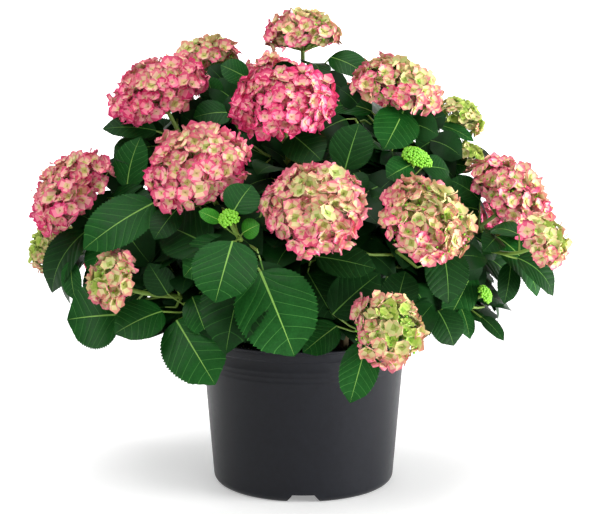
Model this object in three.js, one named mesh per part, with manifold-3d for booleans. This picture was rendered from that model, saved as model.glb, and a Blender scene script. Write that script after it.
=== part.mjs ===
// A mophead hydrangea in a round nursery pot.
// Millimetres, +Z up, the front is towards -Y. The origin is the centre of the pot's flat underside.
//
// The shrub is a stool of canes that rise from the root ball. Each cane is one tapering limb, and where
// its leaves begin it hands over, a hair's breadth clear, to a flowering shoot: one stem with decussate
// pairs of leaves and a flower head on its tip, fused into one solid that keeps to its own space.

import * as THREE from "three";
import { mergeVertices } from "three/addons/utils/BufferGeometryUtils.js";
import Module from "manifold-3d";

const wasm = await Module();
wasm.setup();

// ---------------------------------------------------------------- driving dimensions

const CLEARANCE = 0.3; // between pieces that touch

const POT = {
  height: 200,
  footRadius: 109, // flat part of the underside
  baseRadius: 120, // at the top of the rounded heel
  heel: 11,
  shoulderRadius: 134, // under the rim band
  bandFoot: 186,
  bandRadius: 136,
  lipRadius: 137.5,
  lip: 4,
  wall: 2.5,
  floor: 3,
  sides: 38,
};

const CHANNEL = {
  count: 4, // drainage channels under the floor, each ending in a notch in the heel
  height: 11,
  topWidth: 28,
  footWidth: 46,
  innerRadius: 46,
  drainRadius: 5,
  drainAt: 84,
};

const SOIL_TOP = 184;

const CANE = {
  footRadius: 5.2,
  handoverRadius: 4,
  tipRadius: 2.8,
  sides: 5,
  joint: 22, // length between rings of corners
  shootJoint: 34, // and on the green shoot above it
  rise: 0.4, // how far a cane rises straight before it leans, as a share of its run
  settle: 0.34, // how far it runs straight into its flower head
};
const HANDOVER = 0.36; // share of a cane's length that is bare
const FORK = { at: 0.68, rise: 0.3, settle: 0.35, taper: 0.4, bare: 0.3 }; // where a second twig leaves
const STOOL = { radius: 64, spacing: 17, rounds: 40 }; // circle that the canes' feet share
const CROWN_FOCUS = new THREE.Vector3(0, 0, 200); // flower heads face away from this point

const HEAD = {
  dome: 0.68, // height above its widest part, over its radius
  under: 0.46, // and below
  lean: 0.25, // how much a flower head turns upwards
  bump: 0.05,
  sides: 10,
  rings: 6,
  skin: 2, // room that leaves keep to their own flower head
};
const BUD = { radius: 30, sides: 8, rings: 5 }; // flower heads smaller than this are still in bud

const LEAF = {
  length: 110, // blade of a full-grown leaf
  slimness: 0.72, // width over length
  petiole: 22,
  collar: 3, // petiole that a small leaf has as well
  petioleHalf: 1.7,
  thickness: 2,
  sag: 0.14, // how far the midrib arches, as a share of the length
  cup: 0.11, // how far the margin lifts, as a share of the half width
  pairSpacing: 39, // along a shoot of the crowded front
  rearSpacing: 28, // along a shoot of the open rear
  firstPair: 18, // below the stem's tip
  headRoom: 0.2, // more for a flower head, as a share of its radius
  youngSize: 0.8, // leaves of the first pair, against the others
  spread: 70, // degrees between a petiole and its stem
  weight: 0.6, // how strongly a leaf hangs
  outward: 0.85, // how much a leaf faces outwards, against upwards
  room: 2.5, // spare room that a leaf keeps to its neighbours' space
  skirt: 232, // leaves that grow by the rule hang no lower than this at the front
  rearSkirt: 206, // and than this at the back
  forkSize: 0.6, // leaves on the side twig of a fork, against the others
};
const SCATTER = { size: [0.82, 1.12], roll: [60, 120], turn: [-12, 12], spread: [-8, 8] };

// The balls that share the crown out between the shoots.
const SPACE = { along: 15, stem: 6, blade: 3, head: 0.86 };

// Flower heads as the plant carries them: centre [x, y, z] and radius. A shoot with two heads forks.
const FRONT_SHOOTS = [
  { name: "top", heads: [[-1, 30, 586, 55]] },
  { name: "upper_left", heads: [[-180, -60, 513, 70]] },
  { name: "upper_back", heads: [[-132, 70, 553, 50]] },
  { name: "upper_middle", heads: [[-24, -130, 502, 70]] },
  { name: "upper_right", heads: [[115, -60, 521, 61]] },
  { name: "right_back", heads: [[207, 60, 478, 35], [215, 28, 431, 25]] },
  { name: "middle_left", heads: [[-126, -190, 433, 68]] },
  { name: "far_left", heads: [[-288, -90, 392, 65], [-328, -20, 318, 36]] },
  { name: "middle", heads: [[13, -250, 391, 65]] },
  { name: "middle_right", heads: [[143, -210, 372, 63]] },
  { name: "far_right", heads: [[263, -50, 377, 70], [288, -165, 343, 41]] },
  { name: "low_left", heads: [[-226, -200, 300, 41]] },
  { name: "low_right", heads: [[99, -240, 249, 50]] },
  { name: "bud_left", heads: [[-85, -265, 383, 13]] },
  { name: "bud_right", heads: [[136, -150, 442, 20]] },
  { name: "bud_low_right", heads: [[224, -130, 272, 13]] },
  { name: "leafy_left", heads: [[-146, -151, 264, 0]] },
  { name: "leafy_upper", heads: [[54, -150, 425, 0]] },
  { name: "leafy_crown_left", heads: [[-75, -5, 475, 0]] },
  { name: "leafy_crown_right", heads: [[62, 25, 500, 0]] },
];

// The far side of the crown, which fills the round in tiers. Every other shoot stands higher and closer.
const REAR_LOW = { count: 5, from: 22, to: 158, reach: 274, height: 322, radius: 58 };
const REAR_HIGH = { count: 2, from: 62, to: 108, reach: 160, height: 500, radius: 56 };
const REAR_LEAFY = { count: 2, from: 68, to: 118, reach: 190, height: 395, radius: 0 };
const REAR_STAGGER = { rise: [-14, 22], reach: [6, -16] };

// Leaves that stand out from the crown: blade base, blade tip and width.
const BOLD_LEAVES = {
  top: [{ base: [35, 15, 560], tip: [85, -5, 535], width: 46 }],
  upper_left: [
    { base: [-185, -70, 470], tip: [-250, -90, 475], width: 34 },
    { base: [-190, -65, 450], tip: [-235, -95, 435], width: 50 },
  ],
  upper_middle: [
    { base: [-15, -130, 470], tip: [20, -165, 440], width: 56 },
    { base: [-70, -60, 535], tip: [-105, -60, 550], width: 34 },
  ],
  upper_right: [
    { base: [125, -75, 495], tip: [100, -120, 450], width: 60 },
    { base: [115, -80, 495], tip: [110, -105, 465], width: 34 },
  ],
  right_back: [
    { base: [180, 30, 420], tip: [220, 20, 415], width: 40 },
    { base: [180, 40, 470], tip: [225, 20, 450], width: 22 },
    { base: [180, 20, 455], tip: [145, 0, 440], width: 38 },
  ],
  middle_left: [
    { base: [-180, -170, 390], tip: [-260, -195, 335], width: 66 },
    { base: [-150, -185, 385], tip: [-175, -205, 350], width: 38 },
  ],
  far_left: [
    { base: [-290, -110, 310], tip: [-285, -110, 260], width: 28 },
    { base: [-220, -95, 400], tip: [-205, -95, 465], width: 48 },
  ],
  middle: [
    { base: [15, -200, 330], tip: [85, -215, 315], width: 44 },
    { base: [5, -165, 305], tip: [35, -190, 250], width: 48 },
  ],
  middle_right: [{ base: [165, -190, 340], tip: [175, -210, 275], width: 56 }],
  far_right: [
    { base: [265, -60, 300], tip: [255, -75, 250], width: 32 },
    { base: [225, -60, 380], tip: [185, -80, 410], width: 38 },
  ],
  low_left: [{ base: [-225, -150, 250], tip: [-290, -150, 240], width: 90 }],
  low_right: [
    { base: [75, -215, 230], tip: [55, -235, 160], width: 48 },
    { base: [35, -200, 260], tip: [90, -195, 310], width: 58 },
    { base: [110, -195, 265], tip: [120, -180, 310], width: 46 },
    { base: [40, -195, 245], tip: [0, -210, 215], width: 42 },
  ],
  bud_left: [
    { base: [-50, -250, 320], tip: [-10, -275, 225], width: 98 },
    { base: [-80, -285, 360], tip: [-95, -320, 295], width: 76 },
    { base: [-80, -260, 390], tip: [-60, -245, 420], width: 46 },
    { base: [-95, -260, 380], tip: [-120, -260, 390], width: 18 },
    { base: [-110, -215, 345], tip: [-170, -160, 360], width: 70 },
    { base: [-70, -255, 365], tip: [-50, -258, 375], width: 26 },
  ],
  bud_right: [
    { base: [130, -155, 435], tip: [100, -170, 420], width: 38 },
    { base: [145, -135, 430], tip: [180, -110, 425], width: 34 },
  ],
  bud_low_right: [
    { base: [195, -135, 255], tip: [205, -150, 220], width: 22 },
    { base: [220, -140, 245], tip: [245, -160, 220], width: 20 },
    { base: [165, -150, 255], tip: [185, -165, 215], width: 46 },
    { base: [210, -110, 295], tip: [175, -140, 235], width: 42 },
  ],
  leafy_left: [
    { base: [-155, -160, 245], tip: [-105, -200, 175], width: 80 },
    { base: [-170, -180, 260], tip: [-225, -210, 238], width: 56 },
    { base: [-165, -160, 277], tip: [-185, -170, 318], width: 38 },
    { base: [-135, -165, 275], tip: [-115, -180, 230], width: 40 },
  ],
  leafy_upper: [
    { base: [50, -160, 430], tip: [65, -150, 485], width: 54 },
    { base: [60, -165, 425], tip: [75, -175, 405], width: 24 },
  ],
  leafy_crown_left: [
    { base: [-95, -25, 490], tip: [-140, -45, 485], width: 42 },
    { base: [-115, -10, 505], tip: [-125, -10, 535], width: 34 },
  ],
};

// ---------------------------------------------------------------- small tools

const UP = new THREE.Vector3(0, 0, 1);
const FRONTWARD = new THREE.Vector3(0, -1, 0.3);
const point = (p) => new THREE.Vector3(...p);
const radians = THREE.MathUtils.degToRad;

// A seeded stream of numbers from 0 to 1.
function dice(seed) {
  let state = seed >>> 0;
  return () => {
    state = (state + 0x6d2b79f5) >>> 0;
    let t = state;
    t = Math.imul(t ^ (t >>> 15), t | 1);
    t ^= t + Math.imul(t ^ (t >>> 7), t | 61);
    return ((t ^ (t >>> 14)) >>> 0) / 4294967296;
  };
}

// A closed three.js geometry as a manifold-3d solid.
function solid(geometry) {
  const bare = geometry.clone();
  bare.deleteAttribute("normal");
  bare.deleteAttribute("uv");
  const merged = mergeVertices(bare, 1e-3);
  const corners = merged.index.array;
  const faces = [];
  for (let i = 0; i < corners.length; i += 3) {
    const [a, b, c] = [corners[i], corners[i + 1], corners[i + 2]];
    if (a !== b && b !== c && c !== a) faces.push(a, b, c);
  }
  const made = new wasm.Manifold(
    new wasm.Mesh({
      numProp: 3,
      vertProperties: merged.attributes.position.array,
      triVerts: new Uint32Array(faces),
    }),
  );
  return made;
}

// A manifold-3d solid as a three.js geometry.
function geometryOf(made) {
  const mesh = made.getMesh();
  const positions = new Float32Array(mesh.numVert * 3);
  for (let i = 0; i < mesh.numVert; i++) {
    positions.set(mesh.vertProperties.subarray(i * mesh.numProp, i * mesh.numProp + 3), i * 3);
  }
  const geometry = new THREE.BufferGeometry();
  geometry.setAttribute("position", new THREE.BufferAttribute(positions, 3));
  geometry.setIndex(new THREE.BufferAttribute(mesh.triVerts, 1));
  geometry.computeVertexNormals();
  return geometry;
}

// Moves every vertex of a geometry by a rule.
function reshape(geometry, rule) {
  const positions = geometry.attributes.position;
  for (let i = 0; i < positions.count; i++) {
    const moved = rule(new THREE.Vector3().fromBufferAttribute(positions, i));
    positions.setXYZ(i, moved.x, moved.y, moved.z);
  }
  return geometry;
}

// Two directions square to an axis, the first of them level.
function squareTo(axis) {
  const level = new THREE.Vector3().crossVectors(UP, axis);
  if (level.lengthSq() < 1e-6) level.set(1, 0, 0);
  level.normalize();
  return [level, new THREE.Vector3().crossVectors(axis, level).normalize()];
}

// A round limb that tapers along a stretch of a curve, from share a to share b of its length.
function limb(curve, [a, b], [radiusA, radiusB], joint = CANE.shootJoint) {
  const steps = Math.ceil(((b - a) * curve.getLength()) / joint);
  const tube = new THREE.CylinderGeometry(1, 1, 1, CANE.sides, steps);
  return solid(
    reshape(tube, ({ x, y, z }) => {
      const along = y + 0.5;
      const share = a + (b - a) * along;
      const [level, other] = squareTo(curve.getTangentAt(share));
      const radius = radiusA + (radiusB - radiusA) * along;
      return curve
        .getPointAt(share)
        .addScaledVector(other, x * radius)
        .addScaledVector(level, z * radius);
    }),
  );
}

// ---------------------------------------------------------------- pot and root ball

function potProfile() {
  const { height, footRadius, baseRadius, heel, shoulderRadius, bandFoot, bandRadius, lipRadius, lip } = POT;
  const heelArc = [0.35, 0.7].map((t) => {
    const turn = (t * Math.PI) / 2;
    return new THREE.Vector2(
      footRadius + (baseRadius - footRadius) * Math.sin(turn),
      heel * (1 - Math.cos(turn)),
    );
  });
  return [
    new THREE.Vector2(0, 0),
    new THREE.Vector2(footRadius, 0),
    ...heelArc,
    new THREE.Vector2(baseRadius, heel),
    new THREE.Vector2(shoulderRadius, bandFoot),
    new THREE.Vector2(bandRadius, bandFoot + 2),
    new THREE.Vector2(bandRadius, height - lip),
    new THREE.Vector2(lipRadius, height - lip + 1),
    new THREE.Vector2(lipRadius, height),
    new THREE.Vector2(0, height),
  ];
}

// The space inside the wall, shrunk by inset, from the floor to top.
function cavityProfile(inset, top) {
  const { heel, baseRadius, shoulderRadius, bandFoot, wall, floor, footRadius } = POT;
  const wallAt = (z) => {
    const slope = (shoulderRadius - baseRadius) / (bandFoot - heel);
    return baseRadius + slope * (z - heel) - wall - inset;
  };
  return [
    new THREE.Vector2(0, floor + inset),
    new THREE.Vector2(footRadius - inset, floor + inset),
    new THREE.Vector2(wallAt(heel), heel),
    new THREE.Vector2(wallAt(top), top),
    new THREE.Vector2(0, top),
  ];
}

function turned(profile) {
  const lathe = new THREE.LatheGeometry(profile, POT.sides);
  lathe.rotateX(Math.PI / 2); // the lathe turns about +Y
  return solid(lathe);
}

// The trapezoid bars that the drainage channels are cut with, grown by margin.
function channelBars(margin) {
  const { count, height, topWidth, footWidth, innerRadius } = CHANNEL;
  const outline = new THREE.Shape([
    new THREE.Vector2(-footWidth / 2 - margin, -1),
    new THREE.Vector2(footWidth / 2 + margin, -1),
    new THREE.Vector2(topWidth / 2 + margin, height + margin),
    new THREE.Vector2(-topWidth / 2 - margin, height + margin),
  ]);
  const bar = new THREE.ExtrudeGeometry(outline, { depth: POT.lipRadius, bevelEnabled: false });
  bar.rotateX(Math.PI / 2); // the outline stands up, and the bar runs towards -Y
  bar.translate(0, margin - innerRadius, 0);
  return Array.from({ length: count }, (_, i) =>
    solid(bar.clone().rotateZ((i * 2 * Math.PI) / count)),
  ).reduce((all, one) => all.add(one));
}

function drainHoles() {
  const { count, drainRadius, drainAt, height } = CHANNEL;
  return Array.from({ length: count }, (_, i) => {
    const hole = new THREE.CylinderGeometry(drainRadius, drainRadius, 4 * height, 8);
    hole.rotateX(Math.PI / 2).translate(0, -drainAt, height);
    return solid(hole.rotateZ((i * 2 * Math.PI) / count));
  }).reduce((all, one) => all.add(one));
}

function potSolid() {
  const outer = turned(potProfile());
  const shell = outer.subtract(turned(cavityProfile(0, POT.height + 1)));
  const humps = channelBars(POT.wall).intersect(outer);
  return shell.add(humps).subtract(channelBars(0)).subtract(drainHoles());
}

function rootBallSolid() {
  return turned(cavityProfile(CLEARANCE, SOIL_TOP)).subtract(channelBars(POT.wall + CLEARANCE));
}

// How far a point is from the pot, which counts as solid up to its rim.
function potRoom(p) {
  return Math.max(p.z - POT.height, Math.hypot(p.x, p.y) - POT.lipRadius);
}

// ---------------------------------------------------------------- the plan of the shrub

function rearShoots(tier, label) {
  return Array.from({ length: tier.count }, (_, i) => {
    const turn = radians(tier.from + ((tier.to - tier.from) * i) / (tier.count - 1));
    const rise = tier.height + REAR_STAGGER.rise[i % 2];
    const reach = tier.reach + REAR_STAGGER.reach[i % 2];
    const head = [reach * Math.cos(turn), reach * Math.sin(turn), rise, tier.radius];
    return { name: `${label}_${i + 1}`, heads: [head], spacing: LEAF.rearSpacing };
  });
}

const SHOOT_LIST = [
  ...FRONT_SHOOTS,
  ...rearShoots(REAR_LOW, "rear_low"),
  ...rearShoots(REAR_HIGH, "rear_high"),
  ...rearShoots(REAR_LEAFY, "rear_leafy"),
];
const FEET = stoolFeet(SHOOT_LIST);
const SHOOTS = SHOOT_LIST.map(planShoot);

// Each cane leaves the soil below the way it leans, and crowded feet shoulder each other apart.
function stoolFeet(list) {
  const feet = list.map(({ heads }) => {
    const fan = point(heads[0].slice(0, 3)).sub(CROWN_FOCUS).normalize();
    return point([fan.x * STOOL.radius, fan.y * STOOL.radius, SOIL_TOP + CLEARANCE]);
  });
  for (let round = 0; round < STOOL.rounds; round++) {
    for (const [i, one] of feet.entries()) {
      for (const other of feet.slice(i + 1)) {
        const apart = other.clone().sub(one);
        const lack = STOOL.spacing - apart.length();
        if (lack <= 0) continue;
        apart.setLength(lack / 2);
        other.add(apart);
        one.sub(apart);
      }
    }
  }
  return feet;
}

// Where a shoot's stem runs, and where its flower heads sit and face.
function planShoot({ name, heads, spacing = LEAF.pairSpacing }, index) {
  const planned = heads.map(([x, y, z, radius]) => {
    const centre = point([x, y, z]);
    const axis = centre.clone().sub(CROWN_FOCUS).normalize();
    axis.addScaledVector(UP, HEAD.lean).normalize();
    return { centre, axis, radius };
  });
  const [main, second] = planned;
  const curve = stemCurve(FEET[index], UP, main, CANE);
  const twigs = second
    ? [stemCurve(curve.getPointAt(FORK.at), curve.getTangentAt(FORK.at), second, FORK)]
    : [];
  return { name, index, spacing, heads: planned, curve, twigs, length: curve.getLength() };
}

// A stem sets out one way and ends inside its flower head, in line with the head's axis.
function stemCurve(from, way, head, { rise, settle }) {
  const end = head.centre.clone().addScaledVector(head.axis, (-HEAD.under * head.radius) / 2);
  const run = from.distanceTo(end);
  return new THREE.CubicBezierCurve3(
    from,
    from.clone().addScaledVector(way, run * rise),
    end.clone().addScaledVector(head.axis, -run * settle),
    end,
  );
}

// Balls strung along each shoot, in its flower heads and over its bold leaves. A point belongs to the
// shoot of the nearest ball, and that is the space a shoot keeps to.
const BALLS = SHOOTS.flatMap((shoot) => {
  const { index, curve, twigs, heads } = shoot;
  const ball = (centre, radius) => ({ owner: index, centre, radius });
  const along = [curve, ...twigs].flatMap((run) =>
    Array.from({ length: SPACE.along }, (_, i) => ball(run.getPointAt(i / (SPACE.along - 1)), SPACE.stem)),
  );
  const blooms = heads.map(({ centre, radius }) => ball(centre, radius * SPACE.head));
  const blades = boldLeaves(shoot).flatMap((leaf) =>
    [0.1, 0.35, 0.6, 0.85].flatMap((u) =>
      [-0.7, 0, 0.7].map((side) => ball(bladePoint(leaf, u, side), SPACE.blade)),
    ),
  );
  return [...along, ...blooms, ...blades];
});

// How much nearer a point is to its owner than to any other shoot.
function spareRoom(p, owner) {
  let own = Infinity;
  let other = Infinity;
  for (const ball of BALLS) {
    const distance = p.distanceTo(ball.centre) - ball.radius;
    if (ball.owner === owner) own = Math.min(own, distance);
    else other = Math.min(other, distance);
  }
  return other - own;
}

function insideHead(p, heads) {
  return heads.some(({ centre, axis, radius }) => {
    const offset = p.clone().sub(centre);
    const height = offset.dot(axis);
    const across = Math.sqrt(Math.max(0, offset.lengthSq() - height * height));
    const deep = (height > 0 ? HEAD.dome : HEAD.under) * radius + HEAD.skin;
    return (across / (radius + HEAD.skin)) ** 2 + (height / deep) ** 2 < 1;
  });
}

// ---------------------------------------------------------------- leaves

// Half the blade's width at a share of its length: an egg-shaped leaf with a drawn-out tip.
function bladeHalf(u) {
  const outline = (t) => t ** 0.5 * (1 - t) ** 0.85;
  const widest = 0.5 / (0.5 + 0.85);
  return (0.5 * outline(u)) / outline(widest);
}

// A leaf is planned from the stem point it springs from, its blade's base and tip, and the way it faces.
function planLeaf(root, base, tip, facing, width) {
  const length = base.distanceTo(tip);
  const chord = tip.clone().sub(base).normalize();
  const normal = facing.clone().addScaledVector(chord, -facing.dot(chord)).normalize();
  const crest = base.clone().lerp(tip, 0.5).addScaledVector(normal, 2 * LEAF.sag * length);
  const midrib = new THREE.QuadraticBezierCurve3(base, crest, tip);
  const across = new THREE.Vector3().crossVectors(chord, normal).normalize();
  return { root, midrib, across, width };
}

// A point of the blade: u runs along the midrib, side from -1 to 1 across it.
function bladePoint({ midrib, across, width }, u, side) {
  const half = bladeHalf(u) * width;
  const lift = new THREE.Vector3().crossVectors(across, midrib.getTangent(u)).normalize();
  return midrib
    .getPoint(u)
    .addScaledVector(across, side * half)
    .addScaledVector(lift, Math.abs(side) * half * LEAF.cup);
}

function leafFits(leaf, shoot) {
  const tests = [leaf.root.clone().lerp(leaf.midrib.getPoint(0), 0.7)];
  for (let u = 0; u <= 1.001; u += 0.2) {
    for (const side of [-1, 0, 1]) tests.push(bladePoint(leaf, Math.min(u, 1), side));
  }
  return tests.every(
    (p) =>
      p.z > (p.y < 0 ? LEAF.skirt : LEAF.rearSkirt) &&
      !insideHead(p, shoot.heads) &&
      potRoom(p) > LEAF.room &&
      spareRoom(p, shoot.index) > LEAF.room,
  );
}

// A leaf is a three-sided bar: two margins and a keel under the midrib.
function leafSolid(leaf) {
  const stations = [null, 0, 0.28, 0.68, 1]; // the first is the petiole's root, inside the stem
  const bar = new THREE.CylinderGeometry(1, 1, 1, 3, stations.length - 1);
  const base = leaf.midrib.getPoint(0);
  const petiole = base.clone().sub(leaf.root).normalize();
  const sunk = leaf.root.clone().addScaledVector(petiole, -LEAF.petioleHalf);
  const across = leaf.across.clone().addScaledVector(petiole, -leaf.across.dot(petiole)).normalize();
  const petioleUp = new THREE.Vector3().crossVectors(across, petiole);
  return solid(
    reshape(bar, ({ x, y, z }) => {
      const u = stations[Math.round((y + 0.5) * (stations.length - 1))];
      const side = -Math.sign(Math.round(x));
      if (u === 1) return leaf.midrib.getPoint(1);
      if (!u) {
        return (u === null ? sunk : base)
          .clone()
          .addScaledVector(across, side * LEAF.petioleHalf)
          .addScaledVector(petioleUp, -z * LEAF.petioleHalf);
      }
      if (side) return bladePoint(leaf, u, side);
      const lift = new THREE.Vector3().crossVectors(leaf.across, leaf.midrib.getTangent(u)).normalize();
      return leaf.midrib.getPoint(u).addScaledVector(lift, -0.5 * LEAF.thickness);
    }),
  );
}

// The way a leaf at a place on the crown faces: up and outwards.
function facingAt(p) {
  return new THREE.Vector3(p.x, p.y, 0).setLength(LEAF.outward).add(UP).normalize();
}

// What a leaf tries in turn until it has room: smaller sizes, and at each size some turns about its
// stem, in degrees, and some more or less hang.
const SIZES = [1, 0.85, 0.7, 0.6];
const TURNS = [0, 20, -20, 40, -40];
const HANGS = [0, 0.4, -0.45];

// One leaf of a pair, or nothing where there is no room for it.
function growLeaf(shoot, curve, share, angle, length, spread) {
  const root = curve.getPointAt(share);
  const stem = curve.getTangentAt(share);
  const [level, other] = squareTo(stem);
  for (const size of SIZES) {
    for (const turn of TURNS) {
      for (const hang of HANGS) {
        const way = level
          .clone()
          .multiplyScalar(Math.cos(radians(angle + turn)))
          .addScaledVector(other, Math.sin(radians(angle + turn)))
          .multiplyScalar(Math.sin(spread))
          .addScaledVector(stem, Math.cos(spread));
        const base = root.clone().addScaledVector(way, LEAF.petiole * size + LEAF.collar);
        const hung = way.addScaledVector(UP, -(LEAF.weight + hang)).normalize();
        const tip = base.clone().addScaledVector(hung, length * size);
        const leaf = planLeaf(root, base, tip, facingAt(base), length * size * LEAF.slimness);
        if (leafFits(leaf, shoot)) return leaf;
      }
    }
  }
  return null;
}

// Crossed pairs of leaves down a stem, from its tip to where its bare share ends.
function leavesAlong(shoot, curve, bare, head, random, scale = 1) {
  const scatter = ([low, high]) => low + (high - low) * random();
  const length = curve.getLength();
  const first = LEAF.firstPair + head.radius * LEAF.headRoom;
  const roll = scatter(SCATTER.roll);
  const leaves = [];
  for (let pair = 0; first + pair * shoot.spacing < length * (1 - bare) - 2 * LEAF.collar; pair++) {
    const share = 1 - (first + pair * shoot.spacing) / length;
    for (const half of [0, 180]) {
      const size = LEAF.length * scale * (pair === 0 ? LEAF.youngSize : 1) * scatter(SCATTER.size);
      const angle = roll + 90 * pair + half + scatter(SCATTER.turn);
      const spread = radians(LEAF.spread + scatter(SCATTER.spread));
      const leaf = growLeaf(shoot, curve, share, angle, size, spread);
      if (leaf) leaves.push(leaf);
    }
  }
  return leaves;
}

// The leaves that stand out from the crown show their faces to the front.
function boldLeaves(shoot) {
  const shares = Array.from({ length: 24 }, (_, i) => HANDOVER + 0.06 + i / 50);
  return (BOLD_LEAVES[shoot.name] ?? []).map(({ base, tip, width }) => {
    const foot = point(base);
    const roots = shares.map((share) => shoot.curve.getPointAt(share));
    const root = roots.reduce((a, b) => (b.distanceTo(foot) < a.distanceTo(foot) ? b : a));
    const facing = facingAt(foot).addScaledVector(FRONTWARD, 2);
    return planLeaf(root, foot, point(tip), facing, width);
  });
}

// ---------------------------------------------------------------- flower heads

// A dome of florets: its faces step in and out as the florets do.
function headSolid({ centre, axis, radius }, random) {
  const { sides, rings } = radius < BUD.radius ? BUD : HEAD;
  const [level, other] = squareTo(axis);
  const ball = new THREE.SphereGeometry(1, sides, rings);
  const seen = new Map();
  return solid(
    reshape(ball, ({ x, y, z }) => {
      const key = [x, y, z].map((n) => Math.round(n * 1000)).join();
      const step = HEAD.bump * (seen.size % 2 ? 1 : -1);
      if (!seen.has(key)) seen.set(key, 1 + step * (0.6 + 0.8 * random()));
      const grown = radius * seen.get(key);
      return centre
        .clone()
        .addScaledVector(axis, y * grown * (y > 0 ? HEAD.dome : HEAD.under))
        .addScaledVector(level, z * grown)
        .addScaledVector(other, x * grown);
    }),
  );
}

// ---------------------------------------------------------------- assembly

const COLOURS = {
  pot: { color: 0x2e2f33, roughness: 0.55 },
  soil: { color: 0x2a1d14, roughness: 1 },
  cane: { color: 0x5d5a3a, roughness: 0.8 },
  foliage: { color: 0x1f5a28, roughness: 0.5 },
};

const FIRST_SEED = 1900;
const plant = new THREE.Group();

function addPiece(name, made, look) {
  const material = new THREE.MeshStandardMaterial({ ...COLOURS[look], metalness: 0 });
  const mesh = new THREE.Mesh(geometryOf(made), material);
  mesh.name = name;
  plant.add(mesh);
}

addPiece("pot", potSolid(), "pot");
addPiece("root_ball", rootBallSolid(), "soil");

for (const shoot of SHOOTS) {
  const { name, index, curve, twigs, heads, length } = shoot;
  const random = dice(FIRST_SEED + index);
  const cane = limb(curve, [0, HANDOVER], [CANE.footRadius, CANE.handoverRadius], CANE.joint);
  addPiece(`cane_${name}`, cane, "cane");

  const start = HANDOVER + CLEARANCE / length;
  const leaves = boldLeaves(shoot);
  leaves.push(...leavesAlong(shoot, curve, start, heads[0], random));
  for (const twig of twigs) {
    leaves.push(...leavesAlong(shoot, twig, FORK.bare, heads[1], random, LEAF.forkSize));
  }
  let mass = limb(curve, [start, 1], [CANE.handoverRadius, CANE.tipRadius]);
  for (const twig of twigs) {
    mass = mass.add(limb(twig, [0, 1], [CANE.tipRadius, CANE.tipRadius - FORK.taper]));
  }
  for (const leaf of leaves) mass = mass.add(leafSolid(leaf));
  for (const head of heads.filter(({ radius }) => radius > 0)) {
    mass = mass.add(headSolid(head, random));
  }
  addPiece(`foliage_${name}`, mass, "foliage");
}

export default plant;
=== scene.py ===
import itertools
import math

import bmesh
import bpy
import numpy as np
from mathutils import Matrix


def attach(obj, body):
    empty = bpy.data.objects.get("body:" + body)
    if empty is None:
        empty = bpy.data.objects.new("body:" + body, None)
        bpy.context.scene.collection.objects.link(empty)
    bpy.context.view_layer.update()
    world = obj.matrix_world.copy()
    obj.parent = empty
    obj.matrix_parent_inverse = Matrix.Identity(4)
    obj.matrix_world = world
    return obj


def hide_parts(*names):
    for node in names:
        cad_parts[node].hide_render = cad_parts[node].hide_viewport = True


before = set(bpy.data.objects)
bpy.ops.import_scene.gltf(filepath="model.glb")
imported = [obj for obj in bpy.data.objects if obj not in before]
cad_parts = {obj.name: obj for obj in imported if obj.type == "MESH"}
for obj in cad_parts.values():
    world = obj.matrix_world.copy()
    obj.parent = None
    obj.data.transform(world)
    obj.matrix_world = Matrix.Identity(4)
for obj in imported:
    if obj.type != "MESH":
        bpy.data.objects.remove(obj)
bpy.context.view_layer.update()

MM = 0.001  # the plant is planned in millimetres, and its meshes are in metres

# ---------------- driving dimensions, as the solids have them

POT = {
    "height": 200, "foot": 109, "base": 120, "heel": 11, "shoulder": 134, "band_foot": 186, "band": 136,
    "lip_radius": 137.5, "lip": 4, "wall": 2.5, "floor": 3,
}
CHANNEL = {"count": 4, "height": 11, "top": 28, "foot": 46, "inner": 46, "drain": 5, "drain_at": 84}
SOIL_TOP = 184
CLEARANCE = 0.3

CANE = {"foot": 5.2, "handover": 4, "tip": 2.8, "rise": 0.4, "settle": 0.34}
HANDOVER = 0.36  # share of a cane's length that is bare
FORK = {"at": 0.68, "rise": 0.3, "settle": 0.35, "taper": 0.4, "bare": 0.3}
STOOL = {"radius": 64, "spacing": 17, "rounds": 40}
CROWN_FOCUS = np.array([0.0, 0.0, 200.0])  # flower heads face away from this point
HEAD = {"dome": 0.68, "under": 0.46, "lean": 0.25, "skin": 2}
BUD_RADIUS = 30  # flower heads smaller than this are still in bud

LEAF = {
    "length": 110, "slimness": 0.72, "petiole": 22, "collar": 3, "sag": 0.14,
    "cup": 0.11, "pair_spacing": 39, "rear_spacing": 28, "first_pair": 18, "head_room": 0.2,
    "young_size": 0.8, "spread": 70, "weight": 0.6, "outward": 0.85, "room": 2.5, "skirt": 232,
    "rear_skirt": 206, "fork_size": 0.6,
}
SCATTER = {"size": (0.82, 1.12), "roll": (60, 120), "turn": (-12, 12), "spread": (-8, 8)}
SPACE = {"along": 15, "stem": 6, "blade": 3, "head": 0.86}
FIRST_SEED = 1900

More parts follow.
